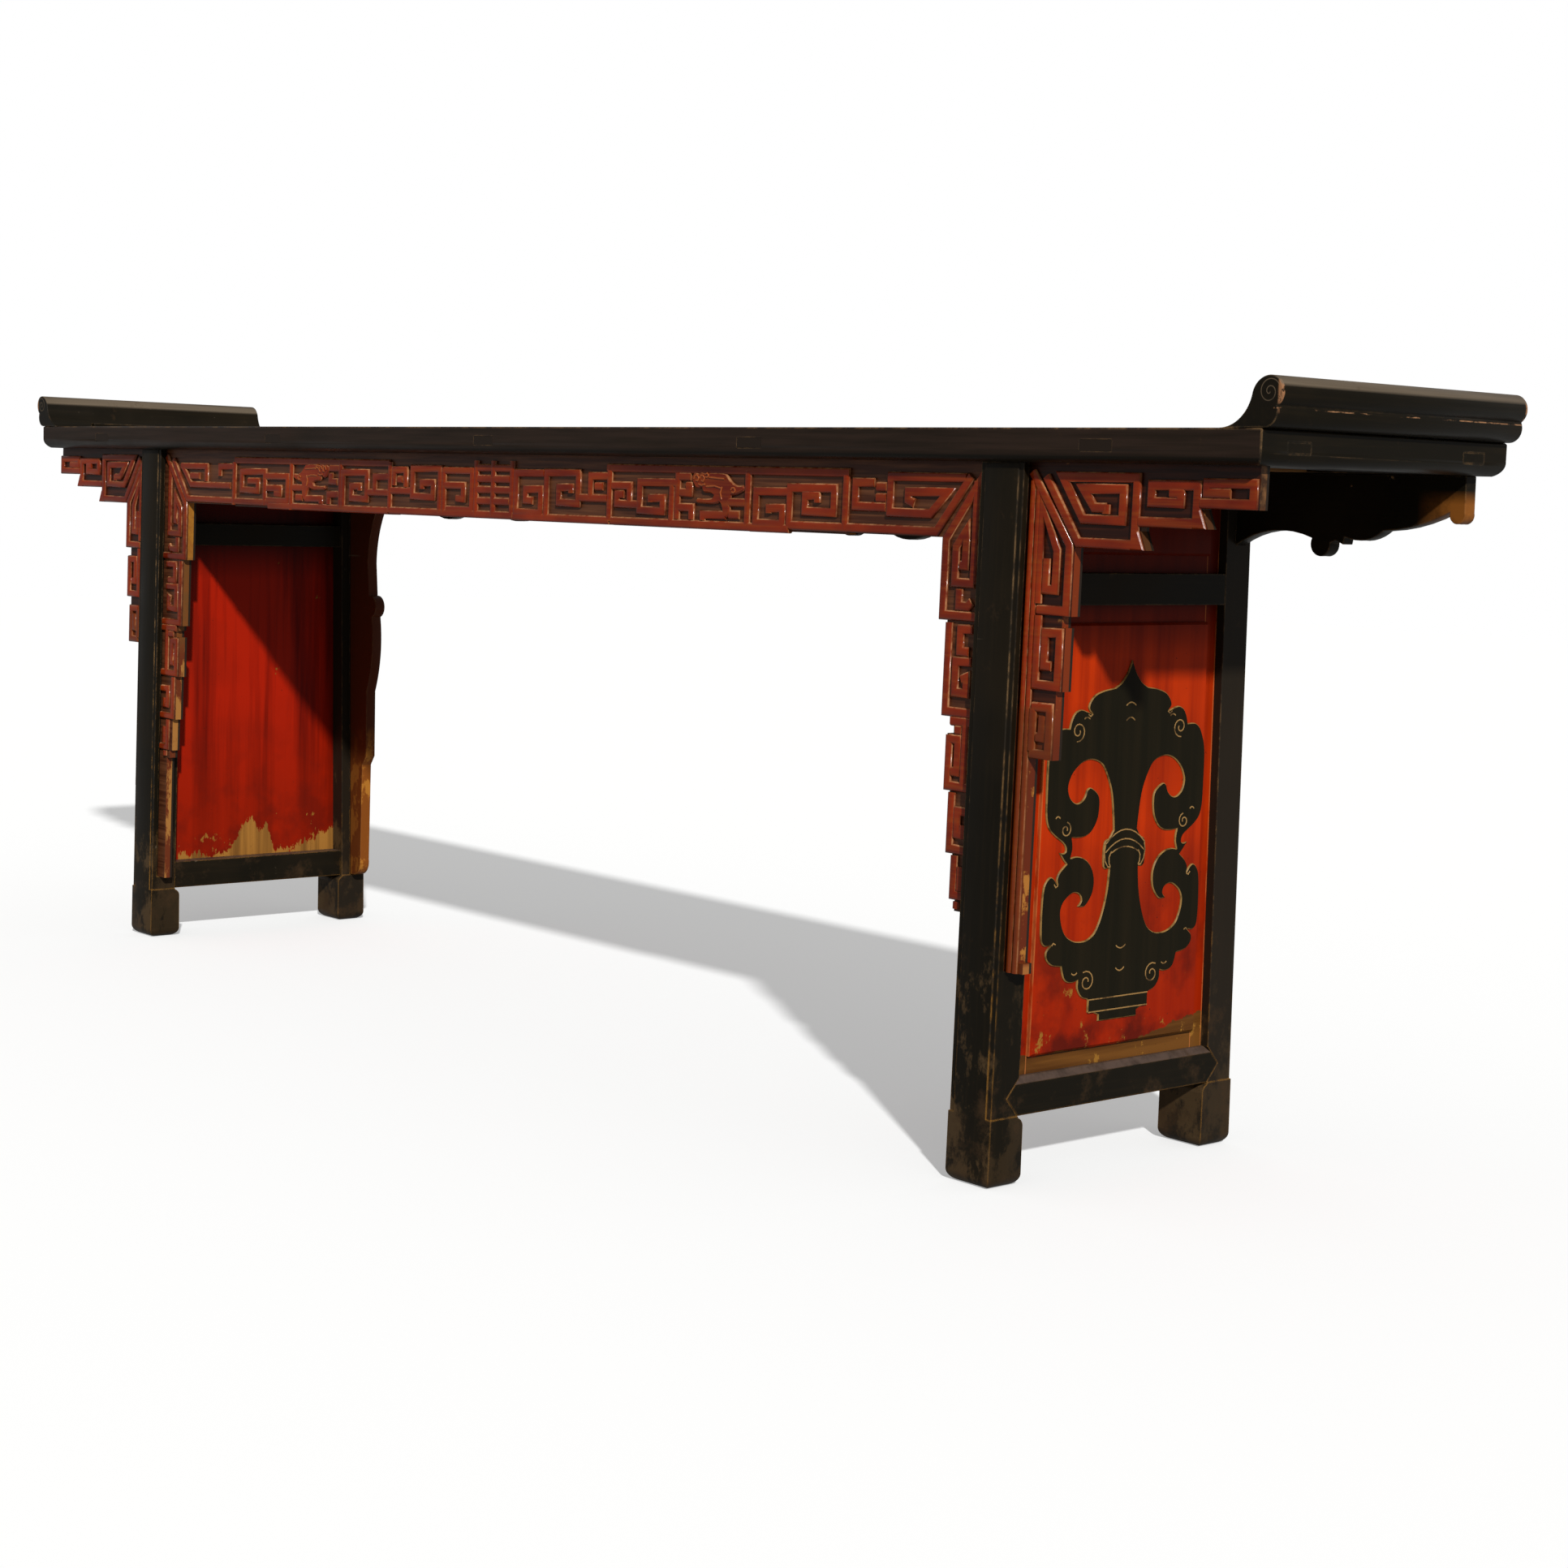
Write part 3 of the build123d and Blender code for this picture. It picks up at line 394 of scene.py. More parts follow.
def black_lacquer(along):
    """Black lacquer with its grain along x, y or z, and the wear of those pieces."""
    f = Finish(f"black_lacquer_{along}")
    cloud = f.noise(5.0, 4.0)
    grain = f.noise(160.0, 3.0, GRAIN[along])
    chips = f.noise(34.0, 6.0, rough=0.7)
    colour = f.coats((0.0078, 0.006, 0.0032),
                     (f.ramp(cloud, 0.42, 0.72, 0.0, 0.8), (0.017, 0.011, 0.005)),
                     (f.ramp(grain, 0.5, 0.8, 0.0, 0.35), (0.022, 0.014, 0.006)))
    low = f.ramp(f.z, 0.02, 0.22, 0.16, 0.0)
    arrises = f.edges(0.0028)
    rub = f.times(arrises, f.ramp(f.plus(chips, low), 0.46, 0.6))
    knocks = f.ramp(f.off_x, 1.49, 1.5, 0.0, 0.045)
    patch = f.plus(knocks, f.noise(21.0, 7.0, rough=0.72, shift=(7, 4, 2)))
    worn = f.math("MAXIMUM", rub, f.ramp(patch, 0.715, 0.735, 0.0, 0.7))
    if along == "x":
        # for the long boards the returned wear mask also holds the painted highlight of the
        # arris
        colour, worn = top_wear_and_highlight(f, colour, worn, grain, chips)
    elif along == "y":
        colour = end_wear_and_sheen(f, colour, chips)
    else:
        colour = leg_wear(f, colour)
    scuff = f.plus(f.noise(15.0, 7.0, rough=0.75, shift=(3, 1, 2)), low)
    scratch = f.times(f.ramp(f.noise(90.0, 2.0, (0.05, 0.8, 1.1)), 0.73, 0.76),
                      f.ramp(cloud, 0.45, 0.6), 0.5)
    ground = f.mix(f.ramp(f.z, 0.25, 0.6), OCHRE, (0.27, 0.155, 0.065))
    colour = f.coats(colour, (f.times(arrises, 0.35), (0.085, 0.07, 0.055)),
                     (f.ramp(scuff, 0.62, 0.78, 0.0, 0.8), (0.05, 0.027, 0.012)),
                     (scratch, (0.16, 0.12, 0.08)), (worn, ground))
    height = f.math("SUBTRACT", f.times(grain, 0.4), worn)
    rough = f.ramp(f.plus(cloud, f.times(worn, 0.6)), 0.3, 1.0, 0.26, 0.7)
    return f.finish(colour, rough, height, 0.0005, 0.45, gloss=0.11)


BLACK = {axis: black_lacquer(axis) for axis in "xyz"}
print("black lacquers:", [m.name for m in BLACK.values()])

# %% [markdown]
# ## Red-brown lacquer of the carving
# The hollows of the carving hold dirt and thick lacquer, and the crests of the ribs are
# rubbed bright. So the depth behind the rib faces drives the colour. The boards lean,
# and the depth is measured from a leaning plane. A Pointiness mask would need far more
# vertices to tell crest from hollow.

# %% Flanks of the ribs and sides of the boards
LEAN = 13.8 / 889.5
RIB_FACE = -216.5 * MM          # y of the rib faces at floor level
GROUND_DEPTH = 4.8 * MM


def flank_wear_and_highlight(f, depth, fine, strip, far):
    """Mask of the pale rib flanks: polish wear and a painted highlight, strongest facing up
    and right.
    """
    shallow = f.below(depth, 0.0026, 0.0036)
    sideways = f.math("MAXIMUM", f.faces["X"], f.times(f.faces["X"], -0.3))
    sideways = f.times(f.ramp(sideways, 0.45, 0.8), f.ramp(depth, 0.0012, 0.0018), shallow)
    over = f.times(f.ramp(f.faces["Z"], 0.25, 0.5), f.ramp(depth, 0.0002, 0.0006), shallow)
    return f.times(f.math("MAXIMUM", sideways, over), f.ramp(fine, 0.38, 0.6, 0.1, 0.85),
                   f.ramp(strip, 0.0, 1.0, 1.0, 0.5), f.ramp(far, 0.0, 1.0, 1.0, 0.55))


def board_sides(f, fine, far):
    """Colour of the sawn sides: orange brown, only stained towards the knees, dark as
    painted shade on the spurs.
    """
    bare_end = f.mix(f.ramp(fine, 0.42, 0.58), (0.045, 0.018, 0.007), (0.18, 0.08, 0.028))
    rubbed = f.mix(f.ramp(f.noise(22.0, 6.0, (1, 1, 0.4), rough=0.7), 0.5, 0.55),
                   (0.14, 0.026, 0.006), (0.38, 0.16, 0.035))
    stained = f.coats((0.15, 0.06, 0.014),
                      (f.ramp(f.z, 0.69, 0.7), (0.4, 0.165, 0.018)),
                      (f.ramp(fine, 0.4, 0.6, 0.0, 0.5), (0.22, 0.06, 0.01)),
                      (f.below(f.z, 0.52, 0.56), rubbed))
    knee = f.times(f.below(f.z, 0.8, 0.806), f.below(f.off_x, 1.05, 1.06))
    # painted shade: the sides of the spurs, beyond x 1.265 and below z 0.846, are painted
    # dark brown
    spurs = f.times(far, f.below(f.z, 0.842, 0.846))
    return f.coats((0.13, 0.018, 0.003), (f.ramp(f.z, 0.55, 0.62), (0.2, 0.028, 0.0035)),
                   (f.ramp(f.noise(24.0, 5.0, rough=0.7), 0.6, 0.65), (0.42, 0.16, 0.025)),
                   (f.below(f.z, 0.28, 0.286), (0.36, 0.13, 0.03)),
                   (f.ramp(f.off_x, 1.4, 1.41), bare_end), (knee, stained),
                   (spurs, (0.085, 0.03, 0.01)))


print("boards lean by", round(math.degrees(math.atan(LEAN)), 2), "degrees")

# %% [markdown]
# From the face inwards the coats are: bright crests, dark ground, the lower and glossier
# beads beside the legs, pale flanks of wear and painted highlight, bright curls on the
# beasts, the sides, rubbed arrises, bare spots and the unlacquered back. Their order
# decides what covers what.

# %% Red-brown lacquer


def carved_lacquer():
    """Red-brown lacquer, dark in the hollows and worn on the crests."""
    f = Finish("red_brown_lacquer")
    depth = f.math("SUBTRACT", f.y, f.plus(f.times(f.z, LEAN), RIB_FACE))
    hollow = f.ramp(depth, 0.003, GROUND_DEPTH * 0.96)
    cloud = f.noise(7.0, 4.0)
    grain = f.noise(190.0, 3.0, GRAIN["x"])
    fine = f.noise(60.0, 5.0, rough=0.65)
    far = f.ramp(f.off_x, 1.265, 1.275)
    strip = f.times(f.below(f.z, 0.59, 0.6), f.ramp(f.off_x, 1.11, 1.112))
    crest = f.coats((0.14, 0.0105, 0.0024),
                    (f.ramp(cloud, 0.35, 0.65), (0.29, 0.027, 0.003)),
                    (f.ramp(grain, 0.45, 0.8, 0.0, 0.6), (0.31, 0.062, 0.006)),
                    (f.ramp(depth, 0.0003, 0.0025, 0.0, 0.65), (0.075, 0.0085, 0.0022)))
    ends = f.mix(f.ramp(grain, 0.4, 0.7), (0.022, 0.0042, 0.0018), (0.06, 0.012, 0.0035))
    middle = f.mix(f.ramp(grain, 0.38, 0.66), (0.06, 0.016, 0.006), (0.14, 0.048, 0.018))
    ground = f.mix(f.ramp(f.off_x, 1.06, 1.11), middle, ends)
    curl_tops = f.below(depth, -0.0008, -0.0002)
    side = f.times(f.ramp(depth, 0.005, 0.0056), f.below(f.size(f.faces["Y"]), 0.5, 0.8))
    rub = f.times(f.edges(0.0016, 0.03, 0.3), f.ramp(fine, 0.46, 0.6, 0.0, 0.8),
                  f.below(depth, 0.0015, 0.004))
    bare = f.noise(13.0, 6.0, (0.5, 1, 1), rough=0.7, shift=(2, 5, 1))
    colour = f.coats(crest, (hollow, ground), (f.times(strip, 0.7), (0.15, 0.03, 0.005)),
                     # painted highlight: flanks that face up and to the right are painted
                     # pale, over polish wear
                     (flank_wear_and_highlight(f, depth, fine, strip, far), (0.47, 0.22, 0.095)),
                     (curl_tops, (0.34, 0.08, 0.02)), (side, board_sides(f, fine, far)),
                     (rub, (0.44, 0.16, 0.035)),
                     (f.ramp(bare, 0.7, 0.73, 0.0, 0.7), (0.38, 0.15, 0.03)),
                     (f.ramp(depth, 0.0155, 0.0165), (0.02, 0.012, 0.007)))
    height = f.plus(f.times(grain, 0.5), fine)
    rough = f.ramp(f.plus(cloud, hollow), 0.3, 1.5, 0.14, 0.4)
    return f.finish(colour, rough, height, 0.0004, 0.25, gloss=0.26)


CARVED = carved_lacquer()
print("carved boards:", CARVED.name, "with", len(CARVED.node_tree.nodes), "nodes")

# %% [markdown]
# ## Red lacquer of the panels
# The side panels carry orange-red lacquer outside and a deeper red inside, with brown
# streaks along the upright grain. Their feet are worn: outside a rail is rubbed to brown
# wood, and inside the left panel is kicked bare, in one tall patch the most. The edge of
# such a patch is a height that wanders with noise. One material does both faces, because
# a mask on x tells which side is which.

# %% Worn feet and pale arrises of the panels
FOOT_RAIL = 0.1655              # z up to which the feet of the outer faces are brown


def kicked_patch(f, outer):
    """Mask of the bare patch at the foot of the left panel, on its inner face."""
    tall = f.ramp(f.apart(f.y, -0.004), 0.004, 0.046, 0.072, 0.006)
    beside = f.ramp(f.apart(f.y, 0.03), 0.0, 0.018, 0.068, 0.0)
    corner = f.ramp(f.y, 0.07, 0.16, 0.0, 0.038)
    reach = f.math("MAXIMUM", f.math("MAXIMUM", tall, beside), corner)
    broken = f.plus(f.times(f.noise(60.0, 6.0, (1, 1, 0.45), rough=0.7), 0.07),
                    f.times(f.noise(170.0, 5.0, (1, 1, 0.3), rough=0.7), 0.05))
    kicked = f.below(f.math("SUBTRACT", f.plus(f.z, broken), reach), 0.196, 0.197)
    return f.times(kicked, f.below(f.x, -0.5, -0.4), f.below(outer, 0.0, 1.0))


def foot_rail(f, outer, chips):
    """Mask and colour of the brown rail at the foot of the outer faces."""
    slant = f.ramp(f.y, 0.02, 0.14, 0.006, 0.03)
    ragged = f.math("SUBTRACT", f.plus(f.z, f.times(chips, 0.03)), slant)
    rail = f.times(f.below(ragged, FOOT_RAIL, 0.167), outer)
    lying = f.noise(46.0, 4.0, (1, 0.05, 1), rough=0.6)
    return rail, f.mix(f.ramp(lying, 0.4, 0.6), (0.17, 0.065, 0.012), (0.085, 0.03, 0.006))


def pale_arrises(f, outer):
    """Mask of the lines where the border meets the legs and where the field rises."""
    inward = f.math("SUBTRACT", f.math("SUBTRACT", 0.179, f.times(f.z, LEAN)), f.off_y)
    seam = f.apart(f.apart(inward, 0.0119), 0.0106)
    broken = f.ramp(f.noise(70.0, 3.0, (1, 1, 0.3)), 0.38, 0.55, 0.1, 0.7)
    return f.times(f.below(seam, 0.0004, 0.001), broken, outer)


print("outer faces brown up to z", FOOT_RAIL)

# %% [markdown]
# The parts that lie deep under the top are painted dark, as painted shade of the top, and
# smudges lie low on the field. They are coats like the others, faded in and out along z.

# %% Red lacquer


def panel_lacquer():
    """Red lacquer for the side panels: brighter outside than inside."""
    f = Finish("red_lacquer")
    outer = f.ramp(f.off_x, 1.094, 1.097)
    streak = f.noise(46.0, 4.0, (1, 1, 0.035), rough=0.6)
    band = f.noise(17.0, 4.0, (1, 1, 0.06), rough=0.6, shift=(0, 6, 0))
    cloud = f.noise(4.0, 4.0)
    chips = f.noise(26.0, 7.0, (1, 1, 0.6), rough=0.7)
    bright = f.mix(f.ramp(streak, 0.4, 0.72, 0.0, 0.9), (0.54, 0.034, 0.0012),
                   (0.27, 0.013, 0.001))
    streaks = f.plus(f.times(streak, 0.4), f.times(band, 0.6))
    deep = f.mix(f.ramp(streaks, 0.44, 0.6), (0.42, 0.013, 0.002), (0.12, 0.0032, 0.0012))
    specks = f.ramp(f.noise(210.0, 2.0), 0.72, 0.78, 0.0, 0.8)
    smoky = f.times(f.ramp(f.noise(12.0, 6.0, shift=(0, 3, 0)), 0.46, 0.62),
                    f.ramp(f.z, 0.18, 0.44, 0.85, 0.0), f.ramp(outer, 0.0, 1.0, 0.6, 1.0))
    worn = f.plus(chips, f.ramp(f.z, 0.158, 0.27, 0.13, 0.0))
    worn = f.ramp(worn, 0.7, 0.72, 0.0, 0.9)
    raw = f.mix(f.ramp(streak, 0.42, 0.62), (0.39, 0.17, 0.032), (0.2, 0.085, 0.018))
    colour = f.coats(deep, (outer, bright),
                     # painted shade of the top: side and upper panels darken from z 0.655
                     # up to z 0.715
                     (f.ramp(f.z, 0.655, 0.715, 0.0, 0.85), (0.04, 0.0028, 0.0012)),
                     (f.ramp(cloud, 0.5, 0.8, 0.0, 0.6), (0.13, 0.007, 0.002)),
                     (f.ramp(f.z, 0.19, 0.46, 0.75, 0.0), (0.27, 0.011, 0.0013)),
                     (smoky, (0.075, 0.006, 0.003)), foot_rail(f, outer, chips),
                     (worn, OCHRE), (kicked_patch(f, outer), raw),
                     (pale_arrises(f, outer), (0.55, 0.17, 0.045)),
                     (specks, (0.03, 0.008, 0.004)))
    height = f.math("SUBTRACT", f.times(streak, 0.5), worn)
    rough = f.ramp(f.plus(cloud, worn), 0.3, 1.6, 0.26, 0.75)
    return f.finish(colour, rough, height, 0.0005, 0.4, gloss=0.08)


RED = panel_lacquer()
print("panels:", RED.name, "with", len(RED.node_tree.nodes), "nodes")

# %% [markdown]
# ## Bare wood
# Battens and the inner rails were never lacquered. Their ends come through the front
# edge, where the black lacquer covers them, so the wood turns dark near that edge.

# %% Bare wood


def bare_wood():
    """Dry pale wood with brown grain, black where its end is lacquered over."""
    f = Finish("bare_wood")
    grain = f.noise(90.0, 5.0, (1, 0.05, 1), rough=0.6)
    lacquered = f.ramp(f.off_y, 0.214, 0.216)
    colour = f.coats(BARE, (f.ramp(grain, 0.35, 0.7), (0.17, 0.075, 0.026)),
                     (f.ramp(f.noise(6.0, 3.0), 0.4, 0.75, 0.0, 0.6), (0.11, 0.055, 0.022)),
                     (lacquered, (0.021, 0.013, 0.0085)))
    rough = f.ramp(lacquered, 0.0, 1.0, 0.75, 0.42)
    return f.finish(colour, rough, grain, 0.0004, 0.4, gloss=0.12)


WOOD = bare_wood()
print("inner rails and battens:", WOOD.name)

# %% [markdown]
# ## From packed boards to dressed pieces
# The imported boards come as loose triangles, which a Bevel modifier can't round. A copy
# is merged at its corners, and its flat faces are joined again. A remesh would be
# quicker to write, but it would lose the crisp joinery. A dressed piece then takes one
# finish, rides on the table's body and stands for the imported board.

# %% Helpers for pieces


def merged_copy(node):
    """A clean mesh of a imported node: one vertex at each corner, whole flat faces."""
    shape = bmesh.new()
    shape.from_mesh(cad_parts[node].data)
    bmesh.ops.remove_doubles(shape, verts=shape.verts, dist=0.00002)
    bmesh.ops.dissolve_limit(shape, angle_limit=math.radians(0.6), verts=shape.verts,
                             edges=shape.edges)
    return shape


def mesh_from(shape, name):
    """A plain mesh made from a bmesh, which is freed."""
    mesh = bpy.data.meshes.new(name)
    shape.to_mesh(mesh)
    shape.free()
    return mesh


def piece_of(mesh, material, *nodes, slot):
    """A finished piece with the name of its mesh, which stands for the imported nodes."""
    mesh.materials.clear()
    mesh.materials.append(material)
    piece = placed(mesh.name, mesh)
    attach(piece, "root")
    if nodes:
        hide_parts(*nodes)
    return piece


rail = merged_copy("top_rail_front")
print("front rail:", len(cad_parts["top_rail_front"].data.polygons), "faces packed,",
      len(rail.faces), "merged")
rail.free()

# %% [markdown]
# ## Softened joinery
# A planed board never keeps a knife edge. A Bevel modifier rounds every sharp edge, by
# about a millimetre. The small gaps this leaves at the joints read as the joint lines.

# %% Soften and dress the joinery


def round_edges(piece, width):
    """Round every sharp edge of a piece."""
    bevel = piece.modifiers.new("rounded", "BEVEL")
    bevel.width = width * MM
    bevel.segments = 2
    bevel.limit_method = "ANGLE"
    bevel.angle_limit = math.radians(35)
    bevel.use_clamp_overlap = False


def both(stem):
    """Names of a piece at the right and at the left end."""
    return [f"{stem}_right", f"{stem}_left"]


joinery = [
    (["top_rail_front", "top_rail_rear"], "x", 0.8),
    (both("top_end_rail"), "y", 0.8),
    (both("flange"), "y", 1.2),
    (both("leg_front") + both("leg_rear"), "z", 0.6),
    (both("stretcher") + both("upper_rail"), "y", 1.0),
    (["apron_rear"], "x", 1.2),
    (both("spandrel_rear"), "z", 1.2),
]
for names, along, width in joinery:
    for node in names:
        mesh = mesh_from(merged_copy(node), f"{node}_softened")
        piece = piece_of(mesh, BLACK[along], node, slot="black_lacquer")
        round_edges(piece, width)
print("softened pieces:", sum(len(names) for names, _, _ in joinery))

# %% [markdown]
# The panels, battens and inner rails stay as they are packed: their edges sit in
# grooves or out of sight, so they only get their finish.

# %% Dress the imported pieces
battens = [f"batten_{n}" for n in range(1, 6)]
for material, dressed in ((RED, both("side_panel") + both("upper_panel")),
                          (WOOD, both("head_rail") + battens),
                          (BLACK["x"], ["top_panel"])):
    for node in dressed:
        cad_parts[node].data.materials.clear()
        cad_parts[node].data.materials.append(material)
    print(material.name, "on", ", ".join(dressed))

# %% [markdown]
# ## The fret ribs
# The fret is a flat-topped rib that turns square corners. Booleans or hand-placed boxes
# would need a mitre at each turn. Here a Geometry Nodes tree sweeps one section along
# flat centre lines. At a corner the section is widened by one over the cosine of half
# the turn, which closes the mitre and keeps the rib's width. The height travels as an
# attribute of the section, so the widening never makes a corner taller. The last step
# tilts the flat drawing onto the leaning board.

# %% The rib tree


def build_rib_tree():
    """Geometry Nodes tree that turns flat centre lines into carved ribs on a board."""
    tree = bpy.data.node_groups.new("carved_rib", "GeometryNodeTree")
    face = tree.interface
    face.new_socket(name="Lines", in_out="INPUT", socket_type="NodeSocketGeometry")
    for name in ("Width", "Height", "Rounding", "Base", "Lean", "Unevenness"):
        face.new_socket(name=name, in_out="INPUT", socket_type="NodeSocketFloat")
    face.new_socket(name="Finish", in_out="INPUT", socket_type="NodeSocketMaterial")
    face.new_socket(name="Ribs", in_out="OUTPUT", socket_type="NodeSocketGeometry")
    given = add_node(tree, "NodeGroupInput").outputs

    def geo(kind, inputs=None, **settings):
        """Outputs of a new geometry node."""
        return add_node(tree, f"GeometryNode{kind}", inputs, **settings).outputs

    def calc(kind, *values):
        """One arithmetic step."""
        return math_node(tree, kind, *values)

    def vector(kind, *values):
        """Outputs of one step with vectors."""
        return add_node(tree, "ShaderNodeVectorMath", dict(enumerate(values)),
                        operation=kind).outputs

    def captured(shape, name, value):
        """The shape, and a value that it remembers point by point."""
        node = add_node(tree, "GeometryNodeCaptureAttribute", {"Geometry": shape})
        node.capture_items.new("FLOAT", name)
        tree.links.new(value, node.inputs[name])
        return node.outputs["Geometry"], node.outputs[name]

    # The section: a rounded rectangle, laid flat, that remembers its heights.
    box = geo("CurvePrimitiveQuadrilateral", {
        "Width": given["Width"], "Height": calc("MULTIPLY", given["Height"], 2.0)})
    rounded = geo("FilletCurve", {"Curve": box[0], "Radius": given["Rounding"],
                                  "Count": 3}, mode="POLY")
    spot = geo("InputPosition")[0]
    parts = add_node(tree, "ShaderNodeSeparateXYZ", {0: spot}).outputs
    known, lift = captured(rounded[0], "lift", parts["Y"])
    flat = add_node(tree, "ShaderNodeCombineXYZ", {"X": parts["X"]}).outputs[0]
    section = geo("SetPosition", {"Geometry": known, "Position": flat})[0]

    # The mitre: one over the cosine of half the turn.
    onward = geo("OffsetPointInCurve", {"Point Index": geo("InputIndex")[0], "Offset": 1})
    there = geo("FieldAtIndex", {"Value": spot, "Index": onward["Point Index"]},
                data_type="FLOAT_VECTOR")[0]
    way = vector("NORMALIZE", vector("SUBTRACT", there, spot)[0])[0]
    cosine = vector("DOT_PRODUCT", way, geo("InputTangent")[0])["Value"]
    sharpest = 0.4              # the cosine that a very sharp corner is held to
    mitre = geo("Switch", {"Switch": onward["Is Valid Offset"], "False": 1.0,
                           "True": calc("DIVIDE", 1.0, calc("MAXIMUM", cosine, sharpest))},
                input_type="FLOAT")[0]

    # Each line stands a hair higher or lower, as a carver leaves it.
    chance = add_node(tree, "FunctionNodeRandomValue", data_type="FLOAT")
    drawing = {s.name: s for s in chance.inputs if s.enabled}
    drawing["Min"].default_value = -1.0
    drawing["Seed"].default_value = 4
    tree.links.new(geo("CurveOfPoint")["Curve Index"], drawing["ID"])
    drawn = [s for s in chance.outputs if s.enabled][0]
    lines, hand = captured(given["Lines"], "hand", calc("MULTIPLY", drawn,
                                                        given["Unevenness"]))
    turned = geo("SetCurveNormal", {"Curve": lines}, mode="Z_UP")[0]
    swept = geo("CurveToMesh", {"Curve": turned, "Profile Curve": section,
                                "Scale": mitre, "Fill Caps": True})[0]

    # Tilt the flat drawing onto the board and raise it by its height.
    slope = calc("MULTIPLY_ADD", parts["Y"], given["Lean"], given["Base"])
    standing = add_node(tree, "ShaderNodeCombineXYZ", {
        "X": parts["X"], "Y": calc("SUBTRACT", slope, calc("ADD", lift, hand)),
        "Z": parts["Y"]}).outputs[0]
    board = geo("SetPosition", {"Geometry": swept, "Position": standing})[0]
    real = geo("RealizeInstances", {0: board})[0]
    done = geo("SetMaterial", {"Geometry": real, "Material": given["Finish"]})[0]
    add_node(tree, "NodeGroupOutput", {"Ribs": done})
    return tree


RIB_TREE = build_rib_tree()
sockets = {s.name: s.identifier for s in RIB_TREE.interface.items_tree
           if s.in_out == "INPUT"}
print("rib tree:", len(RIB_TREE.nodes), "nodes, inputs", ", ".join(sockets))

# %% [markdown]
# ## From lines to meshes
# A finished piece is a plain mesh, so the tree is set on a helper curve, evaluated once
# and thrown away with it. Its inputs are set before that first evaluation. The signed
# volume of the result shows whether its faces point outwards.

# %% Sweep ribs along lines


def rib_mesh(name, lines, **sizes):
    """Sweep ribs along lines given as millimetre corners, and return a plain mesh."""
    curve = bpy.data.curves.new(name, "CURVE")
    curve.dimensions = "3D"
    for line in lines:
        spline = curve.splines.new("POLY")
        spline.points.add(len(line) - 1)
        for point, (x, z) in zip(spline.points, line):
            point.co = (x * MM, z * MM, 0.0, 1.0)
    host = placed(name, curve)
    modifier = host.modifiers.new("ribs", "NODES")
    modifier.node_group = RIB_TREE
    usual = {"Width": 12.2 * MM, "Height": GROUND_DEPTH, "Rounding": 3.3 * MM,
             "Base": RIB_FACE + GROUND_DEPTH, "Lean": LEAN, "Unevenness": 0.15 * MM,
             "Finish": CARVED}
    for key, value in {**usual, **sizes}.items():
        modifier[sockets[key]] = value
    bpy.context.view_layer.update()
    graph = bpy.context.evaluated_depsgraph_get()
    mesh = bpy.data.meshes.new_from_object(host.evaluated_get(graph), depsgraph=graph)
    mesh.name = name
    bpy.data.objects.remove(host)
    bpy.data.curves.remove(curve)
    return mesh


def volume(mesh):
    """Signed volume of a closed mesh: positive where its faces point outwards."""
    mesh.calc_loop_triangles()
    at = [v.co for v in mesh.vertices]
    return sum(at[a].dot(at[b].cross(at[c])) / 6.0
               for a, b, c in (t.vertices for t in mesh.loop_triangles))


def outward(mesh):
    """The mesh with its faces pointing out."""
    if volume(mesh) < 0:
        mesh.flip_normals()
    return mesh


trial = rib_mesh("trial", [[(0, 0), (100, 0), (100, 50)]], Lean=0.0)
print("trial rib:", round(volume(trial) / MM**3), "mm3,", len(trial.polygons), "faces")
bpy.data.meshes.remove(trial)

# %% [markdown]
# ## The pattern of the apron
# The fret is drawn as centre lines in millimetres from the middle of the table and up
# from the floor. A rule could share out even keys, but a carver fits each key to its
# stretch of board, so the lines are written down one by one. Their corners are square,
# so mostly the one coordinate that changes is enough. Each step of the board's outline
# is followed by a rib.

# %% Lines of the middle and the right half


def drawn_lines(text):
    """Lines of points from a table. A semicolon ends each line, and x,z is a point. A
    number alone is a square corner: it changes x, or z after a level stretch."""
    lines = []
    for row in text.split(";"):
        line = []
        for word in row.split():
            point = [float(v) for v in word.split(",")]
            if len(point) == 1:
                x, z = line[-1]
                level = len(line) > 1 and line[-2][1] == z
                point = [x, *point] if level else [*point, z]
            line.append(tuple(point))
        lines.append(line)
    return lines


middle_lines = drawn_lines("""
    -55,797 -55,880; 40,797 40,880; -9.5,797 -9.5,880; -55,869 40; -50,852.5 35;
    -55,836 40; -50,819 35; -60,798.5 45""")
right_lines = drawn_lines("""
    123,863 51 804 115 839 76 822 95; 129,797.5 129,864.5 208 820.5 160 843 190 835;
    46,797.8 285; 208,829 279; 285,861 238 829; 268,846 250; 284,797 284,877; 278,873 797;
    290,848 331 822; 352,822 302 836 318; 440,854 355 814 408 832 380 826; 428,854 428,798;
    290,797.8 600; 593,798 593,873; 677,846 611 803 666 824 638 817;
    680,800 680,852 768 821 711 842 735 833; 600,797.3 680; 680,802.3 797; 791,800 791,870;
    845,861 809 830 868; 868,856 850; 868,842 850;
    1012,869.5 875 824 950 979,851 908 840 920,836; 1020,872 962,802.5 797""")
print("lines in the middle and to its right:", len(middle_lines), len(right_lines))

# %% [markdown]
# The left half was cut by eye, and its keys differ in width from those of the right
# half, so it has a table of its own. The knees outside the legs are alike and are
# mirrored, and so are the cells in which the beasts lie.

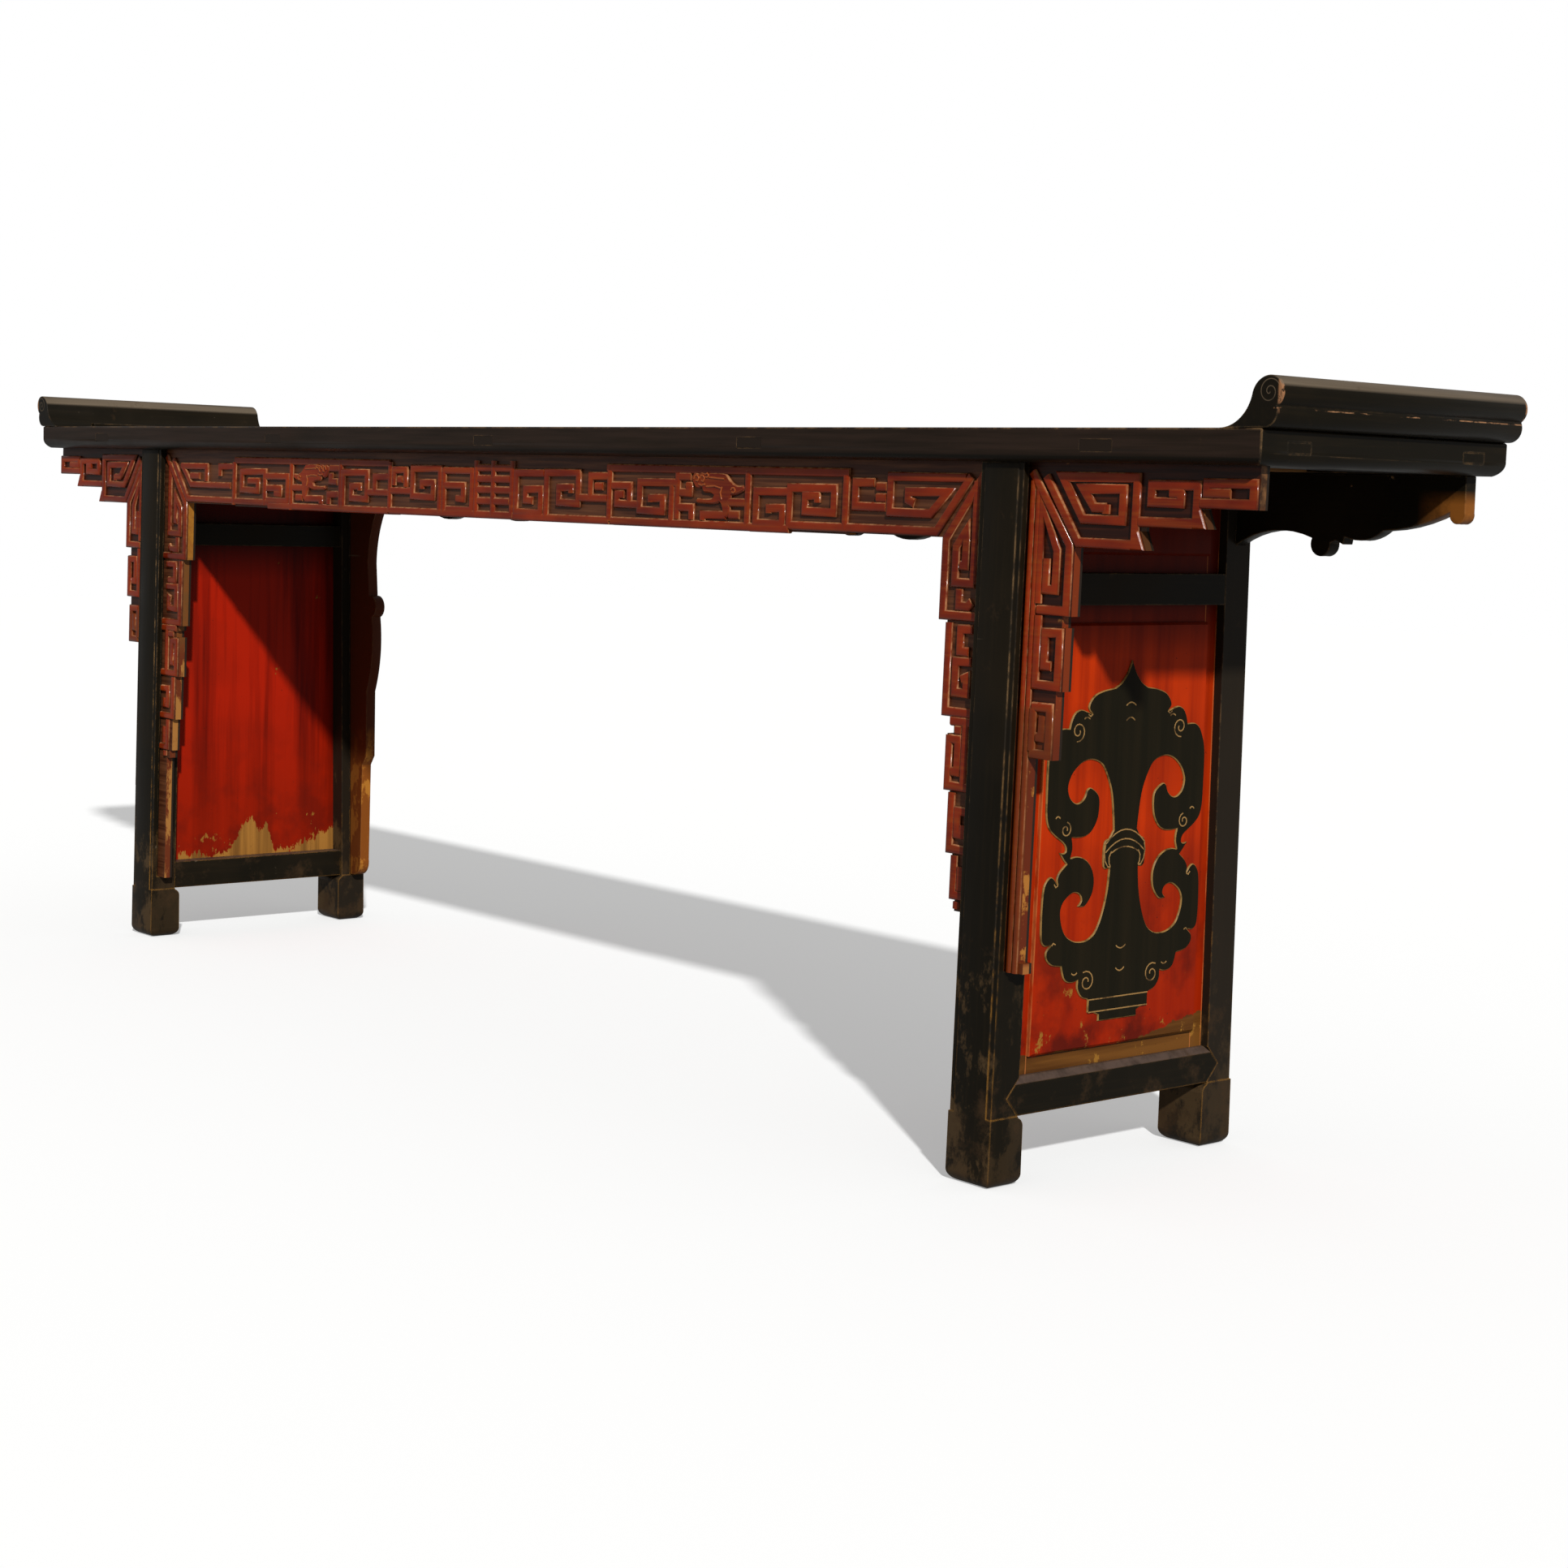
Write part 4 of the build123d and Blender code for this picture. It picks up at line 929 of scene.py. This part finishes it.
# %% Lines of the left half and the knees
left_lines = drawn_lines("""
    -144,798 -144,868; -144,864 -66 804 -135; -144,841 -90 821 -108;
    -155,798 -155,866 -233 822 -174 844 -206 834; -295,830 -236;
    -287,838 -287,863 -253 836; -275,848 -262; -298,798.5 -60; -299,795 -299,875;
    -302,851.5 -344 826; -368,826 -302; -441,800 -441,857 -368 815 -415 835 -390 828;
    -600,797.8 -302; -449,798 -449,875; -606,792 -606,875; -797,873 -300;
    -690,847 -618 806 -686; -686,827 -643 818 -660;
    -694,798 -694,854 -773 822 -718 838 -750; -680,797.3 -600; -800,802.3 -680;
    -799,796 -799,870; -1020,872 -966,803 -797; -985,860 -953,828.5 -812;
    -990,861 -898 835; -955,844 -922; -803,862 -850 845""")
outer_lines = drawn_lines("""
    1147,873 1203,796.6 1291.4 873.5 1173 1209,824 1271 860 1207 1226,838 1245;
    1245,842 1245,831; 1297,823.6 1382.4 866 1314 846 1358 857 1342;
    1388,846.6 1463.4 869 1396 858 1431""")
BEAST_SHIFT = 12.0              # the left-hand cell of a beast lies this much farther out
cell_lines = drawn_lines("""
    441,863 470; 447,841 468 850 461; 441,820.5 473 804; 498,804 498,812 548;
    553,829.5 589; 556,813 577""")


def mirrored(lines, shift=0.0):
    """The same lines at the other end of the table, moved out by shift."""
    return [[(-x - shift, z) for x, z in line] for line in lines]


apron_lines = middle_lines + right_lines + left_lines
apron_lines += cell_lines + [[(441, 868), (441, 804)]] + mirrored(cell_lines, BEAST_SHIFT)
apron_lines += outer_lines + mirrored(outer_lines)
print("apron lines:", len(apron_lines))

# %% [markdown]
# The spandrels carry the same ribs down beside the legs. The two inner ones differ: the
# left one was cut a little wider. Outside the legs two thin beads run down as well.

# %% Lines of the spandrels
inner_lines = drawn_lines("""
    1044,877 980.2,794 980.2,699.7 1048; 1031,866 1031,740;
    1035,740.5 999 785 1016,806 1016,762 1008; 1008,733 1008,712 1024 1030,718;
    993.2,691 993.2,580.7 1048; 1036,684 1014 656 1030;
    1036,644 1008 605 1028 625 1020,622; 1003.2,552 1003.2,488.7 1048;
    1003.2,547 1019 507 1010; 1031,572 1031,487; 1005,569.5 1048; 1014,559 1024;
    1012.2,481 1012.2,410.7 1048; 1048,459 1024 430 1035 442; 1022.2,403 1022.2,353.7 1048;
    1034,390 1034,360; 1030,346 1030,337""")
outer_spandrel_lines = drawn_lines("""
    1124,878 1189.8,793 1189.8,714.7 1143; 1143,722 1143,838 1170,786 1170,739 1154 776;
    1145,708 1145,624.7 1181.8 688 1158 648 1170; 1143,598 1171.8 541.7 1143;
    1144,596 1144,545; 1160,588 1160,562 1152""")
bead_lines = drawn_lines("""
    1126.2,868 1126.2,272; 1135.6,868 1135.6,272""")
LEFT_WIDENING = 7.0             # the free edge of the left inner spandrel, farther in
left_inner_lines = [[(-(x - LEFT_WIDENING if x < 1020 else x), z) for x, z in line]
                    for line in inner_lines]
print("spandrel lines:", len(inner_lines), "inner,", len(outer_spandrel_lines), "outer")

# %% [markdown]
# ## Outlines with cusps
# Two beasts, the pointed spurs and the motif of the side panels have lobed outlines that
# meet in cusps. Bezier handles would do, but need three points for each one drawn. Here
# a smooth curve runs through the points between two cusps, and drawing the outline in
# by its edge gives the smaller upper face.

# %% Outlines


def smooth_runs(runs):
    """Points of a curve that is smooth along each run and may turn sharply between."""
    pieces = 4                  # points of the curve for each drawn one
    points = []
    for run in runs:
        ends = [run[0]] + run + [run[-1]]
        for a, b, c, d in zip(ends, ends[1:], ends[2:], ends[3:]):
            for n in range(pieces):
                t = n / pieces
                weights = (-t**3 + 2 * t**2 - t, 3 * t**3 - 5 * t**2 + 2,
                           -3 * t**3 + 4 * t**2 + t, t**3 - t**2)
                points.append(tuple(
                    sum(w * p[i] for w, p in zip(weights, (a, b, c, d))) / 2
                    for i in (0, 1)))
    return points


def turned(loop, left_turning):
    """The loop in the asked direction of travel, without repeated points."""
    loop = [p for p, q in zip(loop, loop[1:] + loop[:1]) if math.dist(p, q) > 0.02]
    area = sum(p[0] * q[1] - q[0] * p[1] for p, q in zip(loop, loop[1:] + loop[:1]))
    return loop if (area > 0) == left_turning else loop[::-1]


def drawn_in(loop, distance):
    """The loop moved to the left of its travel, with its corners kept in step."""
    moved = []
    for before, here, after in zip(loop[-1:] + loop[:-1], loop, loop[1:] + loop[:1]):
        first = (Vector(here) - Vector(before)).normalized()
        second = (Vector(after) - Vector(here)).normalized()
        inward = Vector((-first.y - second.y, first.x + second.x))
        reach = distance / max(0.45, (1.0 + first.dot(second)) / 2.0) / 2.0
        moved.append((here[0] + inward.x * reach, here[1] + inward.y * reach))
    return moved


square = [(0, 0), (20, 0), (20, 20), (0, 20)]
print("a square drawn in by 2 mm:", [tuple(round(v, 1) for v in p)
                                     for p in drawn_in(square, 2.0)])

# %% [markdown]
# ## Flat carved plates
# A plate has a lower and an upper face, upright sides and a sloping edge, and its faces
# are filled around any openings. A sweep can't make such shapes, and a filled curve
# object would trip over the sharp cusps.

# %% Plates from outlines


def flat_plate(name, loops, thickness, edge, place):
    """Mesh of a plate with a sloping edge. The first loop is its outline, the others
    are openings, and place turns (across, up, lift) in millimetres into a position."""
    loops = [turned(loop, n == 0) for n, loop in enumerate(loops)]
    insets = [drawn_in(loop, edge) for loop in loops]
    rings = [(loops, 0.0), (loops, thickness - edge), (insets, thickness)]
    points = [place(u, v, lift) for ring, lift in rings for loop in ring
              for u, v in loop]
    count = sum(len(loop) for loop in loops)
    faces = []
    first = 0
    for loop in loops:
        size = len(loop)
        for n in range(size):
            a, b = first + n, first + (n + 1) % size
            faces += [(a, b, b + count, a + count),
                      (a + count, b + count, b + 2 * count, a + 2 * count)]
        first += size
    flat = [[Vector((u, v, 0.0)) for u, v in loop] for loop in loops]
    raised = [[Vector((u, v, 0.0)) for u, v in loop] for loop in insets]
    faces += [tuple(t) for t in tessellate_polygon(flat)]
    faces += [tuple(n + 2 * count for n in t) for t in tessellate_polygon(raised)]
    shape = bmesh.new()
    corners = [shape.verts.new(p) for p in points]
    for face in faces:
        shape.faces.new([corners[n] for n in face])
    bmesh.ops.recalc_face_normals(shape, faces=shape.faces)
    return outward(mesh_from(shape, name))


trial = flat_plate("trial", [square], 5.0, 1.0,
                   lambda u, v, lift: (u * MM, v * MM, lift * MM))
print("trial plate:", round(volume(trial) / MM**3), "mm3")
bpy.data.meshes.remove(trial)

# %% [markdown]
# The apron has a crouching beast in two of its cells: a curly head towards the middle of
# the table, a long back, a haunch and a tail. Its body is a plate, and its curls are the
# same ribs as the fret at a smaller width, standing on the plate.

# %% Beasts and spurs of the apron
body_runs = drawn_lines("""
    473,858 474,865 480,869.5 488,868 494,870 502,868.5 512,869.5 530,869.5 545,868.5
       550,866; 550,866 556,860 564,855 573,852.5 584,853; 584,853 587,849 584,845;
    584,845 576,842 567,839.5 559,838.5;
    559,838.5 557,832 557.5,824 556,815 551,809 546,808.5 543,811 541,820 538,826;
    538,826 534,829 528,827 515,826 500,826.5 486,827; 486,827 483,830 486,834;
    486,834 500,833.5 517,834.5 521,838; 521,838 514,841 500,841.5;
    500,841.5 497,845 495,849 488,847 482,848 478,852 473,858""")
curls = drawn_lines("""
    479,860 481,864.5 486,865.5 489.5,862 488,857.5 484,858;
    492,861 494,865 499,865 502,861.5 500,857 496,857.5;
    504,866.5 508,868 511,865.5 508.5,862.5 505,863; 490,853 497,851.5 504,853;
    513,862.5 530,861.5 545,861; 507,850 525,851 540,848;
    560,846 562,849 567,849 569,845.5 566,842.5 562,843.5; 541,850 537.5,842 541,833""")
spurs = drawn_lines("""
    1286,814 1297.5,812.5 1307,790.6 1286,790.6;
    1377,841 1388.5,839.5 1398,817.6 1377,817.6""")
ROOT = 0.5                      # how far a plate runs into the ground it stands on


def on_board(side, shift=0.0):
    """Placing rule for the ground of the leaning boards, right (1) or left (-1)."""
    def place(u, v, lift):
        depth = GROUND_DEPTH + (ROOT - lift) * MM
        return (side * (u + shift) * MM, RIB_FACE + LEAN * v * MM + depth, v * MM)
    return place


def beasts():
    """Meshes of both beasts with their curls, and of the four spurs."""
    thickness = GROUND_DEPTH / MM + ROOT
    made = []
    for side, shift in ((1, 0.0), (-1, BEAST_SHIFT)):
        body = smooth_runs(body_runs)
        made.append(flat_plate("body", [body], thickness, 2.2, on_board(side, shift)))
        drawn = curls if side == 1 else mirrored(curls, shift)
        made.append(rib_mesh("curls", drawn, Width=2.4 * MM, Height=1.3 * MM,
                             Rounding=1.0 * MM, Base=RIB_FACE))
        for spur in spurs:
            made.append(flat_plate("spur", [spur], thickness, 1.6, on_board(side)))
    return made


print("beasts:", len(curls), "curls each, spurs:", 2 * len(spurs))

# %% [markdown]
# ## The carved boards
# A carver sinks the ground and leaves the ribs standing. Here it is done the other way:
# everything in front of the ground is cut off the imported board, and the ribs and plates
# are set on that ground. A boolean for each rib would give the same form more slowly.

# %% Ground boards and ribs


def recessed_board(node):
    """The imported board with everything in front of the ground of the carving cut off."""
    shape = merged_copy(node)
    every = shape.verts[:] + shape.edges[:] + shape.faces[:]
    behind = RIB_FACE + GROUND_DEPTH + 0.1 * MM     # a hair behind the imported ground
    cut = bmesh.ops.bisect_plane(
        shape, geom=every, dist=1e-6, plane_co=(0.0, behind, 0.0),
        plane_no=(0.0, -1.0, LEAN), clear_outer=True)["geom_cut"]
    rim = [edge for edge in cut if isinstance(edge, bmesh.types.BMEdge)]
    bmesh.ops.holes_fill(shape, edges=rim, sides=0)
    for vertex in {v for edge in rim for v in edge.verts}:
        vertex.co.y = RIB_FACE + LEAN * vertex.co.z + GROUND_DEPTH
    bmesh.ops.recalc_face_normals(shape, faces=shape.faces)
    return shape


def carved_board(node, *carvings):
    """A board with its carving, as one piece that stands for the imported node."""
    shape = recessed_board(node)
    for carving in carvings:
        shape.from_mesh(outward(carving))
    wild = sum(1 for edge in shape.edges if len(edge.link_faces) != 2)
    mesh = mesh_from(shape, f"{node}_carved")
    piece = piece_of(mesh, CARVED, node, slot="red_brown_lacquer")
    print(piece.name, len(piece.data.polygons), "faces, open edges:", wild)
    return piece


FINE = dict(Width=8.6 * MM, Rounding=3.0 * MM)
carved_board("apron_front", rib_mesh("apron_ribs", apron_lines), *beasts())
carved_board("spandrel_front_inner_right", rib_mesh("ribs", inner_lines))
carved_board("spandrel_front_inner_left", rib_mesh("ribs", left_inner_lines))
carved_board("spandrel_front_outer_right", rib_mesh("ribs", outer_spandrel_lines),
             rib_mesh("beads", bead_lines, **FINE))
carved_board("spandrel_front_outer_left", rib_mesh("ribs", mirrored(outer_spandrel_lines)),
             rib_mesh("beads", mirrored(bead_lines), **FINE))

# %% [markdown]
# ## The panel motif
# The motif is a flat raised plate with a lobed outline and two curled openings, worn to
# the ochre along its sloping edge. Only one half is drawn, from the tip down to the foot,
# because the other is its mirror image.

# %% Outline of the motif
right_lobes = drawn_lines("""
    0,649 4,641 9,632 19,621 31,614.5; 31,614.5 49,612 65,607 74,599 77,592 75,587 70,583;
    70,583 80,586.5 91,589 101,585 107,576 110,566;
    110,566 124,566 134,560 140,549 144,538 146,520 146,475 145,458 142,447 136,439 125,431
       115,425 109,419 108,413 112,411 119,412; 119,412 113,404 106,397;
    106,397 117,388 122,379 120,371;
    120,371 126,379 133,382.5 140,378 145,368 147,345 147,318 145,302 138,296 127,297;
    127,297 136,289 135,279 125,271 108,268; 108,268 103,253 95,247 84,246 77,248;
    77,248 77,237 69,226 57,222; 56,221 56,205; 56,205 41,203; 36,200 36,192""")
right_hole = drawn_lines("""
    22,435 24,455 28,480 35,499 46,517 58,524 72,526 86,522 98,513 105,503 108,492 104,480
       95,473 86,473 78,479 74,488;
    74,488 68,491 58,486 51,478 50,464 53,449 62,436 74,430 88,429 98,430;
    98,430 96,421 96,413 99,404;
    99,404 90,405.5 79,404 67,398 58,387 54,373 56,358 63,347 71,341 82,342;
    82,342 76,349 80,357 90,360 100,356 109,348 113,337 110,321 102,307 88,299 74,297 61,299
       49,307 40,323 33,344 29,364 27,387; 27,387 38,389 38,419 27,425""")

half = smooth_runs(right_lobes) + [(36, 192)]
hole = smooth_runs(right_hole)
other_half, other_hole = mirrored([half[:0:-1], hole])
outline = half + other_half
print("motif outline:", len(outline), "points, hole:", len(hole))

# %% [markdown]
# Fine lines are cut into the face of the motif: the curls of the lobes, the rings of the
# collar and small crescents. A worn cut shows as a thin pale ridge of ground coat, so
# the rib tree draws it, at a width of under two millimetres.

# %% Cut lines of the motif


def curl(u, v, radius, start, turns):
    """A spiral line that winds in from a start angle in degrees."""
    count = max(6, round(abs(turns) * 14))
    line = []
    for n in range(count + 1):
        share = n / count
        angle = math.radians(start + 360 * turns * share)
        reach = radius * (1 - 0.78 * share)
        line.append((u + reach * math.cos(angle), v + reach * math.sin(angle)))
    return line


def arch(u, v, half_width, rise):
    """A shallow arch over a chord, drawn cup-up where the rise is negative."""
    return [(u + half_width * t / 4, v + rise * (1 - (t / 4) ** 2)) for t in range(-4, 5)]


side_cuts = [
    curl(95, 562, 13, -80, -1.35), arch(80, 577, 5, 2.2),
    curl(110, 440, 10, 100, 1.3), arch(125, 455, 4, 2.4),
    curl(61, 245, 14, 60, 1.35), arch(84, 258, 5, -2.4),
    [(70, 583), (74, 580), (78, 583)], [(120, 371), (124, 369), (127, 373)],
    [(127, 296), (124, 299), (120, 297)],
    [(36, 418), (38, 407), (36, 396), (31, 389), (26, 388)],
    [(25, 408), (29, 401), (28.5, 393), (26, 389)],
]
middle_cuts = [
    arch(0, 417, 37, 18), arch(0, 407, 36, 16), arch(0, 406, 25, 7),
    arch(0, 592, 9, 4), arch(0, 573, 8, 4), arch(0, 287, 9, -4), arch(0, 258, 8, -4),
    [(-55, 221), (55, 221)], [(-55, 205), (55, 205)],
]
cuts = side_cuts + mirrored(side_cuts) + middle_cuts
print("cut lines of the motif:", len(cuts))

# %% [markdown]
# The motif's black is a little browner than the frame's, and its worn edge is found by
# the way a face looks: only the sloping edge turns away from the side of the table.

# %% Lacquer of the motif


def motif_lacquer():
    """Near-black lacquer whose sloping edges are worn to ochre."""
    f = Finish("motif_lacquer")
    grain = f.noise(50.0, 4.0, (1, 1, 0.04), rough=0.6)
    cloud = f.noise(9.0, 4.0)
    dark = f.mix(f.ramp(grain, 0.4, 0.75, 0.0, 0.6), (0.0095, 0.0078, 0.0036),
                 (0.02, 0.0135, 0.0055))
    slope = f.below(f.size(f.faces["X"]), 0.8, 0.97)
    broken = f.ramp(f.noise(70.0, 4.0), 0.35, 0.5, 0.35, 1.0)
    colour = f.mix(f.times(slope, broken), dark, (0.3, 0.17, 0.05))
    rough = f.ramp(cloud, 0.3, 0.7, 0.32, 0.5)
    return f.finish(colour, rough, grain, 0.0004, 0.35, gloss=0.08)


def worn_line():
    """Ochre ground coat showing in a cut line, broken where the lacquer still fills it."""
    f = Finish("worn_line")
    broken = f.ramp(f.noise(60.0, 4.0), 0.36, 0.5)
    colour = f.mix(broken, (0.075, 0.04, 0.014), (0.33, 0.185, 0.06))
    return f.finish(colour, f.ramp(broken, 0.0, 1.0, 0.4, 0.6), gloss=0.2)


MOTIF = motif_lacquer()
WORN_LINE = worn_line()
print("motif finishes:", MOTIF.name, WORN_LINE.name)

# %% [markdown]
# The plates stand on the outer faces of the side panels, and the cut lines on the
# plates. The plates run half a millimetre into the panels, so no gap can show.

# %% Motif plates and their lines
MOTIF_HEIGHT = 3.0
MOTIF_ROOT = 0.5
panel_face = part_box("side_panel_right")[1][0]


def on_panel(side):
    """Placing rule for the outer face of a side panel; side is 1 right or -1 left."""
    return lambda u, v, lift: (side * (panel_face + (lift - MOTIF_ROOT) * MM), u * MM,
                               v * MM)


for side, stem in ((1, "right"), (-1, "left")):
    plate = flat_plate(f"panel_motif_{stem}", [outline, hole, other_hole], MOTIF_HEIGHT,
                       1.2, on_panel(side))
    piece_of(plate, MOTIF, slot="black_lacquer")
    lines = rib_mesh(f"motif_lines_{stem}", cuts, Width=1.7 * MM, Height=0.35 * MM,
                     Rounding=0.3 * MM, Base=0.0, Lean=0.0, Unevenness=0.0,
                     Finish=WORN_LINE)
    # The ribs come lying in the front plane: turn them onto the outer face of the panel.
    face = side * (panel_face + (MOTIF_HEIGHT - MOTIF_ROOT) * MM)
    lines.transform(Matrix.Translation((face, 0, 0))
                    @ Matrix.Rotation(math.radians(90 * side), 4, "Z"))
    piece_of(outward(lines), WORN_LINE, slot="black_lacquer")
    print("motif", stem, "volume", round(volume(plate) / MM**3), "mm3")
